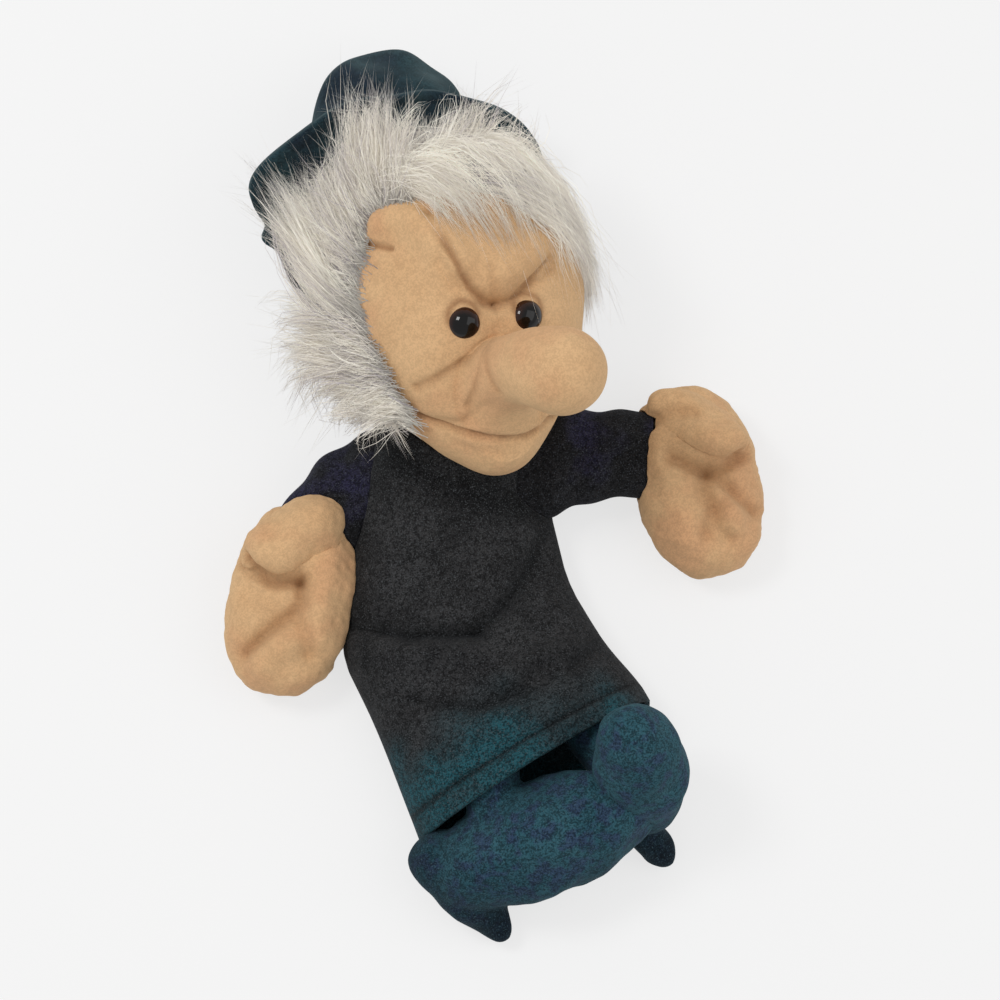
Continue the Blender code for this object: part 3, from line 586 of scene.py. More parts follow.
class Board:
    """Adds nodes to a tree in short calls."""

    def __init__(self, tree: bpy.types.NodeTree) -> None:
        """Work on a tree."""
        self.tree = tree

    def add(self, kind: str, **settings: object) -> bpy.types.Node:
        """Add a node.

        Args:
            kind: Its type.
            **settings: Its properties.

        Returns:
            The node.
        """
        made = self.tree.nodes.new(kind)
        for name, value in settings.items():
            setattr(made, name, value)
        return made

    def wire(self, node: bpy.types.Node, inputs: dict[str | int, object]) -> bpy.types.Node:
        """Feed a node's inputs.

        Args:
            node: The node.
            inputs: Outputs or values for its inputs, by their names or numbers.

        Returns:
            The same node.
        """
        for name, value in inputs.items():
            if isinstance(value, Socket):
                self.tree.links.new(value, node.inputs[name])
            else:
                node.inputs[name].default_value = value
        return node

    def noise(self, where: Socket, scale: float, detail: float = 2.0) -> Socket:
        """Noise about a half.

        Args:
            where: The place it reads.
            scale: How fine it is.
            detail: How many finer layers it has.

        Returns:
            Its value.
        """
        made = self.wire(self.add("ShaderNodeTexNoise"), {"Vector": where, "Scale": scale, "Detail": detail})
        return made.outputs["Fac"]

    def sums(self, operation: str, *values: object, clamp: bool = False) -> Socket:
        """A sum of one, two or three values.

        Args:
            operation: The kind of sum.
            *values: Outputs or numbers.
            clamp: Whether the result is kept between nought and one.

        Returns:
            The result.
        """
        made = self.add("ShaderNodeMath", operation=operation, use_clamp=clamp)
        return self.wire(made, dict(enumerate(values))).outputs[0]

    def span(self, value: object, low: float, high: float, first: float = 0.0, last: float = 1.0) -> Socket:
        """Map a value's span to another span, smoothly, and no further.

        Args:
            value: The value.
            low: Where its span starts.
            high: Where it ends.
            first: The result at the start.
            last: The result at the end.

        Returns:
            The result.
        """
        made = self.add("ShaderNodeMapRange", interpolation_type="SMOOTHSTEP")
        labels = ("Value", "From Min", "From Max", "To Min", "To Max")
        return self.wire(made, dict(zip(labels, (value, low, high, first, last)))).outputs["Result"]

    def mix(self, share: object, first: object, second: object, blend: str = "MIX") -> Socket:
        """Mix two colours.

        Args:
            share: The share of the second.
            first: The first colour.
            second: The second colour.
            blend: How they mix.

        Returns:
            The mixed colour.
        """
        made = self.add("ShaderNodeMix", data_type="RGBA", blend_type=blend)
        return self.wire(made, {0: share, 6: first, 7: second}).outputs[2]

    def shade(self, value: Socket) -> Socket:
        """A value as a grey colour."""
        return self.wire(self.add("ShaderNodeCombineColor"), dict.fromkeys(range(3), value)).outputs[0]

    def attribute(self, name: str) -> Socket:
        """A value on the piece's points."""
        return self.add("ShaderNodeAttribute", attribute_name=name).outputs["Fac"]

    def bump(self, height: Socket, depth: float, strength: float) -> Socket:
        """A normal bumped by a height.

        Args:
            height: The height.
            depth: How far it stands out.
            strength: How strongly it shows.

        Returns:
            The normal.
        """
        inputs = {"Strength": strength, "Distance": depth, "Height": height}
        return self.wire(self.add("ShaderNodeBump"), inputs).outputs["Normal"]


def start_finish(name: str) -> tuple[Finish, Board, bpy.types.Node, Socket]:
    """Start a material.

    Args:
        name: Its name.

    Returns:
        The material, its board, its shader and the place on the piece.
    """
    made = bpy.data.materials.new(name)
    made.use_nodes = True
    board = Board(made.node_tree)
    where = board.add("ShaderNodeTexCoord").outputs["Object"]
    return made, board, made.node_tree.nodes["Principled BSDF"], where


def pile_group() -> bpy.types.NodeTree:
    """A shared effect: the fine tufts and wide brushed patches of a short pile.

    Returns:
        The node group, which takes a place and gives its grain, its brush marks and its normal.
    """
    group = bpy.data.node_groups.new("short_pile", "ShaderNodeTree")
    group.interface.new_socket("Place", in_out="INPUT", socket_type="NodeSocketVector")
    for label, kind in (("Grain", "Float"), ("Brush", "Float"), ("Normal", "Vector")):
        group.interface.new_socket(label, in_out="OUTPUT", socket_type="NodeSocket" + kind)
    board = Board(group)
    where = board.add("NodeGroupInput").outputs["Place"]
    fine = board.sums("MULTIPLY", board.noise(where, 1500.0), 0.6)
    coarse = board.sums("MULTIPLY", board.noise(where, 520.0, 3.0), 0.4)
    grain = board.sums("ADD", fine, coarse)
    board.wire(board.add("NodeGroupOutput"), {
        "Grain": board.span(grain, 0.36, 0.64),
        "Brush": board.span(board.noise(where, 70.0, 3.0), 0.35, 0.65),
        "Normal": board.bump(grain, 0.5 * MM, 0.55),
    })
    return group


@dataclass(frozen=True)
class PileFinish:
    """Short pile cloth.

    It has a main colour, brushed patches and wide stains of dye, with painted shade in its creases and
    wherever a piece sets that shade, and a painted sheen that pales it towards its outline.
    Contrast is how dark the pile's roots are, and glint how strongly painted glints on single tips show.
    Fade is a place along Y below which the tint takes over, and the length over which it does so.
    """

    name: str
    base: str
    brushed: str
    tinted: str
    # The colour of painted shade, laid on by each piece's value of that name.
    shaded_crease: str
    # The colour of the painted sheen towards the outline and of the painted glints.
    edge: str
    rim_sheen_share: float
    contrast: float
    glint: float = 0.0
    stain_scale: float = 42.0
    stain_share: float = 1.0
    fade: tuple[float, float] | None = None
    sheen: float = 0.2
    # How fine the painted glints are.
    glint_scale: float = 2100.0
    brush_share: float = 0.7
    roughness: float = 0.92

    def stains(self, board: Board, where: Socket) -> Socket:
        """How strongly the dye's stains show: noise, and below the fade nearly all over.

        Args:
            board: The material's board.
            where: The place on the piece.

        Returns:
            The share of the tint.
        """
        stains = board.span(board.noise(where, self.stain_scale, 4.0), 0.45, 0.62, 0.0, self.stain_share)
        if not self.fade:
            return stains
        start, length = self.fade
        height = board.wire(board.add("ShaderNodeSeparateXYZ"), {0: where}).outputs["Y"]
        wander = board.sums("MULTIPLY", board.noise(where, 30.0), 0.05)
        low = board.span(board.sums("ADD", height, wander), start, start + length, 1.0, 0.0)
        return board.sums("MULTIPLY", low, board.sums("ADD", stains, 0.75), clamp=True)

    def make(self, pile: bpy.types.NodeTree) -> Finish:
        """Make the material.

        Args:
            pile: The shared pile group.

        Returns:
            The material.
        """
        made, board, shader, where = start_finish(self.name)
        tufts = board.wire(board.add("ShaderNodeGroup", node_tree=pile), {"Place": where}).outputs
        edge = linear(self.edge)
        brush = board.sums("MULTIPLY", tufts["Brush"], self.brush_share)
        colour = board.mix(brush, linear(self.base), linear(self.brushed))
        colour = board.mix(self.stains(board, where), colour, linear(self.tinted))
        # Painted shade: darkens the colour in creases, round joins and towards the floor, by each piece's
        # value.
        colour = board.mix(board.attribute("shaded_crease"), colour, linear(self.shaded_crease))
        depth = board.span(tufts["Grain"], 0.0, 1.0, 1.0 - self.contrast, 1.0 + self.contrast)
        colour = board.mix(1.0, colour, board.shade(depth), "MULTIPLY")
        # Painted glints: fine pale dots of the sheen colour, where single pile tips would catch the light.
        tips = board.span(board.noise(where, self.glint_scale, 1.0), 0.56, 0.72, 0.0, self.glint)
        colour = board.mix(tips, colour, edge)
        # Painted sheen: the colour pales towards the edge colour where the surface turns away from view.
        rim = board.wire(board.add("ShaderNodeLayerWeight"), {"Blend": 0.35}).outputs["Facing"]
        colour = board.mix(board.sums("MULTIPLY", rim, self.rim_sheen_share), colour, edge)
        board.wire(shader, {
            "Base Color": colour,
            "Normal": tufts["Normal"],
            "Roughness": self.roughness,
            "Specular IOR Level": 0.12,
            "Sheen Weight": self.sheen,
            "Sheen Roughness": 0.45,
            "Sheen Tint": edge,
        })
        return made


@dataclass(frozen=True)
class FurFinish:
    """Long fur: each hair has a tone, and painted shade darkens it towards its root.

    Glow is a painted glow: light given off as a share of its colour, in place of the light that passes on
    from hair to hair.
    """

    name: str
    shadow: str
    middle: str
    light: str
    glow: float
    root_shade: float = 0.52
    root_share: float = 0.42

    def make(self) -> Finish:
        """Make the material, which reads the values tone and along of the hairs.

        Returns:
            The material.
        """
        made, board, shader, where = start_finish(self.name)
        patches = board.sums("MULTIPLY", board.noise(where, 90.0), 0.25)
        tone = board.sums("ADD", board.attribute("tone"), patches)
        colour = board.mix(board.span(tone, 0.05, 0.60), linear(self.shadow), linear(self.middle))
        colour = board.mix(board.span(tone, 0.5, 1.2), colour, linear(self.light))
        # Painted shade between the hairs: each hair darkens towards its root.
        root = board.span(board.attribute("along"), 0.0, self.root_share, self.root_shade, 1.0)
        colour = board.mix(1.0, colour, board.shade(root), "MULTIPLY")
        board.wire(shader, {
            "Base Color": colour,
            # Painted glow: the fur gives off light of its own colour, though it is no lamp.
            "Emission Color": colour,
            "Emission Strength": self.glow,
            "Normal": board.bump(board.noise(where, 900.0), 0.3 * MM, 0.3),
            "Roughness": 0.62,
            "Specular IOR Level": 0.3,
            "Sheen Weight": 0.15,
        })
        return made


@dataclass(frozen=True)
class EyeFinish:
    """A glossy domed eye: a black middle in a brown ring."""

    name: str
    middle: str
    ring: str

    def make(self) -> Finish:
        """Make the material, which reads the value rim of the eye.

        Returns:
            The material.
        """
        made, board, shader, where = start_finish(self.name)
        wander = board.sums("MULTIPLY", board.noise(where, 700.0), 0.12)
        rim = board.span(board.sums("ADD", board.attribute("rim"), wander), 0.62, 0.98)
        board.wire(shader, {
            "Base Color": board.mix(rim, linear(self.middle), linear(self.ring)),
            "Roughness": board.span(board.noise(where, 400.0), 0.3, 0.7, 0.05, 0.09),
            "Specular IOR Level": 0.3,
            "Coat Weight": 0.12,
            "Coat Roughness": 0.04,
        })
        return made


@dataclass(frozen=True)
class MouldedFinish:
    """Plain moulded plastic or close woven lining, with a fine grain."""

    name: str
    base: str
    worn: str
    roughness: float
    grain: float

    def make(self) -> Finish:
        """Make the material.

        Returns:
            The material.
        """
        made, board, shader, where = start_finish(self.name)
        marks = board.noise(where, self.grain, 3.0)
        board.wire(shader, {
            "Base Color": board.mix(board.span(marks, 0.3, 0.7), linear(self.base), linear(self.worn)),
            "Normal": board.bump(marks, 0.1 * MM, 0.3),
            "Roughness": self.roughness,
        })
        return made


# Each pile's colours in turn: main, brushed, stains, painted shade, and painted sheen and glints.
SKIN_FLEECE = PileFinish(
    "skin_fleece", "#CAA379", "#D3AD82", "#C99C74", "#8A6141", "#DFC299",
    rim_sheen_share=0.35, contrast=0.09, stain_scale=30.0,
)
GLOVE_VELOUR = PileFinish(
    "glove_velour", "#212122", "#2E2E2F", "#1A4048", "#0A0B0C", "#54585B",
    rim_sheen_share=0.16, contrast=0.60, glint=0.55, fade=(-0.030, 0.038), sheen=0.12,
)
SLEEVE_VELOUR = PileFinish(
    "sleeve_velour", "#171718", "#222224", "#222134", "#0A0B0C", "#54585F",
    rim_sheen_share=0.18, contrast=0.60, glint=0.45, stain_scale=36.0, sheen=0.12,
)
HAT_VELOUR = PileFinish(
    "hat_velour", "#1E3138", "#2D4349", "#1B2531", "#0B1114", "#66787A",
    rim_sheen_share=0.30, contrast=0.32, glint=0.15,
)
BOOT_VELOUR = PileFinish(
    "boot_velour", "#20404A", "#2B4D57", "#282A49", "#080D18", "#55727C",
    rim_sheen_share=0.12, contrast=0.50, glint=0.34, stain_scale=170.0, stain_share=0.6,
)
WIG_FUR = FurFinish("wig_fur", "#B5ADB3", "#E4DDD2", "#FFFCF0", 0.13)
EYE_GLASS = EyeFinish("eye_glass", "#030202", "#30170D")
WASHER_PLASTIC = MouldedFinish("washer_plastic", "#E8E6E0", "#D8D5CC", 0.45, 300.0)
TUBE_LINING = MouldedFinish("tube_lining", "#B7A189", "#A48E76", 0.9, 1400.0)


@dataclass
class Finishes:
    """The puppet's materials, made once and shared."""

    def __post_init__(self) -> None:
        """Make every material."""
        pile = pile_group()
        self.skin = SKIN_FLEECE.make(pile)
        self.glove = GLOVE_VELOUR.make(pile)
        self.sleeve = SLEEVE_VELOUR.make(pile)
        self.hat = HAT_VELOUR.make(pile)
        self.boot = BOOT_VELOUR.make(pile)
        self.fur = WIG_FUR.make()
        self.eye = EYE_GLASS.make()
        self.washer = WASHER_PLASTIC.make()
        self.lining = TUBE_LINING.make()


# The head


@dataclass(frozen=True)
class Fold:
    """A roll or sunken fold of cloth along a line, with painted shade along it.

    Attributes:
        line: The line's points in mm.
        height: How far it stands out in mm, or sinks where it is below nought.
        width: Its half width in mm.
        shade: How much painted shade lies along it, nought to one.
    """

    line: Line
    height: float
    width: float
    shade: float = 0.0

    def bell(self, points: np.ndarray, narrow: float = 1.0) -> np.ndarray:
        """How much of the fold each point has, by its distance from the line."""
        return stroke(points, self.line, self.width * MM * narrow)

    def swell(self, points: np.ndarray) -> np.ndarray:
        """How far each point moves."""
        return self.height * MM * self.bell(points)


@dataclass
class Head:
    """The stuffed head: an egg with lobes for its jaw, cheeks and brow, and a bent bulb nose."""

    place: Place = field(
        default_factory=lambda: Place((31.8 * MM, 122.4 * MM, 50.0 * MM), (19.6, 11.4, -4.9)))
    radii: tuple[float, float, float] = (46.0 * MM, 50.0 * MM, 45.0 * MM)
    lowest: float = 6.8 * MM
    lobes: tuple = (
        ((0.0, -0.87, 0.47), 24.0 * MM, 36.0),
        ((0.55, -0.42, 0.72), 2.5 * MM, 20.0),
        ((-0.50, -0.42, 0.75), 3.5 * MM, 20.0),
        ((0.10, 0.55, 0.83), 2.5 * MM, 30.0),
        ((0.0, -0.93, -0.36), -3.0 * MM, 22.0),
    )
    folds: tuple[Fold, ...] = (
        Fold(((-33, 29, 20), (-22, 28, 31), (-13, 20, 39), (-8, 9, 44)), 5.0, 6.0),
        Fold(((3, 3, 45), (13, 7, 44), (25, 12, 37)), 3.5, 6.0),
        Fold(
            ((-14, 10, 42), (-9, -2, 44), (-2, -5, 45), (5, -6, 44), (11, -3, 43.5), (24, 3, 38)),
            -3.5, 3.0,
        ),
        Fold(((2, -15, 43), (-5, -21, 40.5), (-14, -32, 32), (-24, -40, 15)), -3.0, 3.5),
        Fold(((-27, -41, 25), (-14, -48, 40), (0, -52, 45), (12, -50, 44), (24, -42, 34)), -3.0, 3.2),
    )
    creases: tuple[Fold, ...] = (
        Fold(((-30, 27, 25), (-22, 27, 33), (-18, 19, 40), (-14, 9, 44)), 2.6, 5.0),
        Fold(
            ((-16, 28, 38), (-13, 17, 46), (-10, 9, 48), (-7, 0.5, 46), (-2, -5.5, 44), (2, -7, 45)),
            -2.8, 1.8, 0.75,
        ),
        Fold(((2, -7, 45), (7, -6, 44), (12, -3, 43), (17, 1, 42), (24, 6, 40)), -2.2, 1.6, 0.6),
        Fold(((1.6, -7, 45), (1, 1, 49), (1.3, 7, 48)), -0.8, 1.6, 0.2),
        Fold(((-35.6, 21.4, 21.6), (-32.3, 19.8, 27.3), (-29, 18.3, 31.4)), -2.0, 1.1, 0.65),
        Fold(
            ((-4, -18, 53), (-7, -22, 57.7), (-8.5, -25, 59.7), (-8.4, -30, 62), (-7, -35, 63)),
            -1.8, 2.0, 0.45,
        ),
        Fold(
            ((-5, -19, 48.5), (-10, -23, 47), (-16, -26, 44), (-22, -28.6, 41.6), (-28, -31, 34)),
            -2.0, 1.7, 0.5,
        ),
        Fold(
            ((-7, -21, 54.5), (-10, -28, 54.6), (-11, -34, 50), (-13, -39.6, 43.5)),
            -1.5, 1.6, 0.35,
        ),
        Fold(
            ((-30, -36, 25), (-27.9, -39.8, 26.2), (-23.4, -43.7, 29.9), (-16.9, -48, 35.5),
             (-9.7, -50.7, 39.7), (-1.6, -53.2, 41.1), (6.6, -53.4, 39.6), (17.1, -49.6, 35.4),
             (21, -50, 29)),
            -2.2, 1.2, 0.7,
        ),
        Fold(((-19, -50, 33), (-13, -55, 36), (-3.5, -58, 38.5)), -0.8, 2.2, 0.1),
    )
    fold_fade: tuple[float, float] = (0.38, 0.62)
    nose_root: tuple[float, float, float] = (0.0, -25.0 * MM, 34.0 * MM)
    nose_bend: tuple[float, float, float] = (2.0 * MM, -27.0 * MM, 64.0 * MM)
    nose_tip: tuple[float, float, float] = (12.5 * MM, -31.0 * MM, 78.0 * MM)
    ball_radius: float = 15.0 * MM
    waist_radius: float = 12.5 * MM
    root_angle: float = 21.0
    nose_share: float = 0.36
    cap_share: float = 0.42
    waist_share: float = 0.62
    socket_spots: tuple = ((-10.4, -8.4, 43.2), (12.4, -9.4, 42.5))
    socket_rise: float = 0.7 * MM
    socket_reach: float = 8.0 * MM
    socket_ring: float = 5.3 * MM
    dimples: float = 0.35 * MM
    pocket_place: tuple[float, float, float] = (24.0 * MM, 74.0 * MM, 28.0 * MM)
    pocket_radius: float = 12.0 * MM
    pocket_length: float = 54.3 * MM

    def skin(self, directions: np.ndarray, gap: float = 0.0) -> np.ndarray:
        """The head's skin: an egg, pushed out along lobes, raised along rolls and pressed on the floor.

        Args:
            directions: Unit directions from the head's centre, in its frame.
            gap: How far outside the skin the points lie.

        Returns:
            The points in the head's frame.
        """
        radius = 1 / np.linalg.norm(directions / np.array(self.radii), axis=1)
        points = directions * radius[:, None]
        for peak, reach, spread in self.lobes:
            points = points + reach * lobe(directions, peak, spread)[:, None] * unit(peak)
        swell = sum(fold.swell(points) for fold in self.folds)
        low, high = self.fold_fade
        swell = swell * smooth_step((directions[:, 2] - low) / (high - low))
        points = points + (swell + gap)[:, None] * directions
        return self.place.keep_above(points, self.lowest - gap)

    def form(self, polar: np.ndarray, azimuth: np.ndarray) -> np.ndarray:
        """The whole head: rings run from the nose's tip along its curve to its root, and on over the head.

        Args:
            polar: The polar angle, nought at the nose's tip.
            azimuth: The angle round the nose.

        Returns:
            The points in the head's frame.
        """
        axis = unit(self.nose_root)
        across = unit(np.cross((0, 1, 0), axis))
        upward = np.cross(axis, across)
        side = np.cos(azimuth)[:, None]
        rise = np.sin(azimuth)[:, None]
        start = self.nose_share * math.pi
        root = math.radians(self.root_angle)
        share = np.clip(polar / start, 0, 1)
        beyond = np.clip((polar - start) / (math.pi - start), 0, 1)
        angle = np.where(polar < start, root * share, root + beyond * (math.pi - root))[:, None]
        directions = np.cos(angle) * axis + np.sin(angle) * (side * across + rise * upward)
        skin = self.skin(directions)
        cap = np.clip(share / self.cap_share, 0, 1) * math.pi / 2
        along = np.clip((share - self.cap_share) / (1 - self.cap_share), 0, 1)
        middle, run = bezier((self.nose_tip, self.nose_bend, self.nose_root), along)
        forward = -run
        right = rows_unit(np.cross(upward, forward))
        over = np.cross(forward, right)
        narrowing = self.waist_radius - self.ball_radius
        radius = self.ball_radius + narrowing * smooth_step(along / self.waist_share)
        ring = (radius * np.sin(cap))[:, None] * (side * right + rise * over)
        nose = middle + ring + (self.ball_radius * np.cos(cap))[:, None] * forward
        blend = smooth_step((share - self.waist_share) / (1 - self.waist_share))[:, None]
        return nose * (1 - blend) + skin * blend

    def build(self, bench: Bench, finish: Finish) -> None:
        """Build the head, with its fine creases, raised eye sockets and soft dimples, painted shade in its
        creases and round the eyes, and its pocket.

        Args:
            bench: Where the piece is made.
            finish: Its material.
        """
        skin = ball(340, 220, self.form)
        points = skin.points
        outward = rows_unit(points)
        shade = np.zeros(len(points))
        sink = np.zeros(len(points))
        for shaded_crease in self.creases:
            sink += shaded_crease.swell(points)
            # Painted shade along each of the fine creases.
            shade = np.maximum(shade, shaded_crease.shade * shaded_crease.bell(points, 0.9))
        for spot in self.socket_spots:
            distance = np.linalg.norm(points - np.array(spot) * MM, axis=1)
            sink += self.socket_rise * np.exp(-(distance / self.socket_reach) ** 4)
            # Painted shade in a ring round each eye, where the eye sits in the skin.
            shade = np.maximum(shade, 0.75 * np.exp(-((distance - self.socket_ring) / (1.2 * MM)) ** 2))
        sink += self.dimples * ripple(points, 24 * MM, 3)
        skin.points = self.place.to_world(points + sink[:, None] * outward)
        skin.values["shaded_crease"] = shade
        bore_profile = [(0.0, -self.pocket_length), (self.pocket_radius, -self.pocket_length)]
        bore_profile += [(self.pocket_radius, self.pocket_length), (0.0, self.pocket_length)]
        bore = lathe(bore_profile, 48)
        bore.points = bore.points[:, [0, 2, 1]] + np.array(self.pocket_place)
        room = bench.tool("pocket_room", bore.face_out())
        head = bench.piece("head_skin", skin, finish, Slot.SKIN, ["head"], rooms=[room])


@dataclass
class Eye:
    """A safety eye: a dome, a short rim and a shank, set on the face."""

    side: str
    spot: tuple[float, float, float]
    radius: float = 6.0 * MM
    dome: float = 4.8 * MM
    rim: float = 1.2 * MM
    sink: float = 1.9 * MM
    shank_radius: float = 2.0 * MM
    shank_length: float = 9.0 * MM

    def build(self, bench: Bench, head: Head, finishes: Finishes) -> None:
        """Build the eye: a quarter oval turned about its axis, put where the face's skin is.

        Args:
            bench: Where the piece is made.
            head: The head it is set in.
            finishes: The puppet's materials.
        """
        arc = np.linspace(0, math.pi / 2, 15)
        profile = [(self.radius * math.sin(a), self.dome * math.cos(a)) for a in arc]
        edge = self.rim * 0.35
        profile += [(self.radius, -self.rim + edge), (self.radius - edge, -self.rim)]
        profile += [(self.shank_radius, -self.rim), (self.shank_radius, -self.rim - self.shank_length)]
        profile += [(0.0, -self.rim - self.shank_length)]
        skin = lathe(profile, 56)
        skin.values["rim"] = np.linalg.norm(skin.points[:, :2], axis=1) / self.radius
        point = np.array(self.spot) * MM
        direction = unit(point / np.array(head.radii) ** 2)
        seat = head.skin(unit(point)[None, :])[0] - direction * self.sink
        turn = np.array(Vector(direction).to_track_quat("Z", "Y").to_matrix())
        skin.points = head.place.to_world(skin.points @ turn.T + seat)
        bench.piece("eye_dome_" + self.side, skin, finishes.eye, Slot.EYE, ["eye_" + self.side])
        dress_node("eye_washer_" + self.side, finishes.washer)


def dress_node(name: str, finish: Finish) -> None:
    """Give a solid that stays as it is a better material.

    Args:
        name: The solid's name.
        finish: The material.
    """
    for slot in bpy.data.objects[name].material_slots:
        slot.material = finish


# The wig


@dataclass(frozen=True)
class Comb:
    """The way that the fur is combed about a spot on the head.

    Attributes:
        spot: The spot in the head's frame, in mm.
        way: The direction of its hairs along the skin.
        length: How far they run along the skin, in mm.
        rise: How far their tips stand off it, in mm.
    """

    spot: tuple[float, float, float]
    way: tuple[float, float, float]
    length: float
    rise: float


@dataclass(frozen=True)
class Fan:
    """Locks of fur that spread like a fan.

    Attributes:
        locks: Each lock's root, middle and tip in the head's frame, in mm.
        count: How many hairs lie between them.
        clumps: How many clumps these make.
        depth: How far behind the locks their roots go, in mm.
        spread: How far the clumps stray at the root, the middle and the tip, in mm.
        pale: How much paler its hairs are.
    """

    locks: tuple
    count: int
    clumps: int
    depth: float
    spread: tuple[float, float, float]
    pale: float = 0.0


MANE = Fan(
    (
        ((-41, -8, 20), (-52, 17, -6), (-60, 41, -33)),
        ((-42, 4, 18), (-49, 26, -6), (-56, 50, -34)),
        ((-40, 17, 15), (-42, 33, -2), (-46, 46, -20)),
        ((-35, 28, 15), (-33, 43, 3), (-34, 57, -8)),
        ((-29, 33, 21), (-25, 56, 8), (-23, 79, -4)),
        ((-24, 35, 26), (-15, 50, 16), (-7, 62, 6)),
        ((-14, 39, 27), (-3, 48, 20), (6, 55, 12)),
    ),
    5400, 230, 17.0, (2.0, 3.6, 6.5),
)
FOREHEAD_COMB = Fan(
    (
        ((-31, 34, 15), (-19, 37, 32), (-9, 20, 50)),
        ((-27, 38, 15), (-6, 43, 33), (7, 11, 52)),
        ((-20, 42, 14), (11, 46, 26), (21, 7, 47)),
        ((-8, 46, 12), (25, 44, 20), (35, 5, 34)),
        ((8, 48, 8), (35, 35, 14), (41, -4, 25)),
        ((22, 44, 4), (40, 26, 10), (44, -14, 15)),
        ((34, 36, -4), (45, 17, 2), (46, -16, 4)),
    ),
    5200, 190, 13.0, (2.2, 2.2, 4.0), 0.1,
)
SHOULDER_TUFT = Fan(
    (
        ((-41, -8, 20), (-53, 0, -4), (-61, 6, -26)),
        ((-40, -14, 19), (-52, -10, -6), (-60, -6, -24)),
        ((-37, -22, 20), (-51, -22, -4), (-60, -31, -19)),
        ((-34, -30, 18), (-45, -33, 0), (-50, -40, -13)),
        ((-31, -35, 20), (-36, -40, 12), (-37, -43, 9)),
    ),
    2100, 100, 14.0, (1.5, 3.3, 5.0),
)
SEAM_FRINGE = Fan(
    (
        ((-31, -35, 25), (-37, -38, 20), (-44, -41, 10)),
        ((-34, -29, 25), (-41, -31, 18), (-49, -34, 6)),
        ((-37, -20, 25), (-44, -20, 17), (-52, -19, 4)),
        ((-41, -8, 21), (-47, -4, 12), (-54, 2, -2)),
        ((-42, 3, 19), (-47, 9, 10), (-53, 18, -4)),
        ((-38, 13, 22), (-44, 22, 12), (-50, 34, -4)),
        ((-36, 21, 22), (-41, 32, 12), (-44, 46, -2)),
        ((-32, 28, 23), (-35, 41, 14), (-36, 55, 2)),
        ((-26, 32, 28), (-25, 44, 21), (-24, 58, 8)),
        ((-20, 34, 32), (-14, 43, 27), (-8, 56, 16)),
    ),
    2200, 200, 4.0, (1.2, 1.8, 4.0),
)
HAT_WISPS = Fan(
    (
        ((-10, 40, 26), (4, 55, 15), (14, 68, 2)),
        ((11, 49, 4), (13, 57, 12), (22, 65, 2)),
        ((25, 46, 6), (30, 52, 10), (38, 56, 0)),
    ),
    420, 60, 6.0, (2.0, 4.0, 7.0),
)


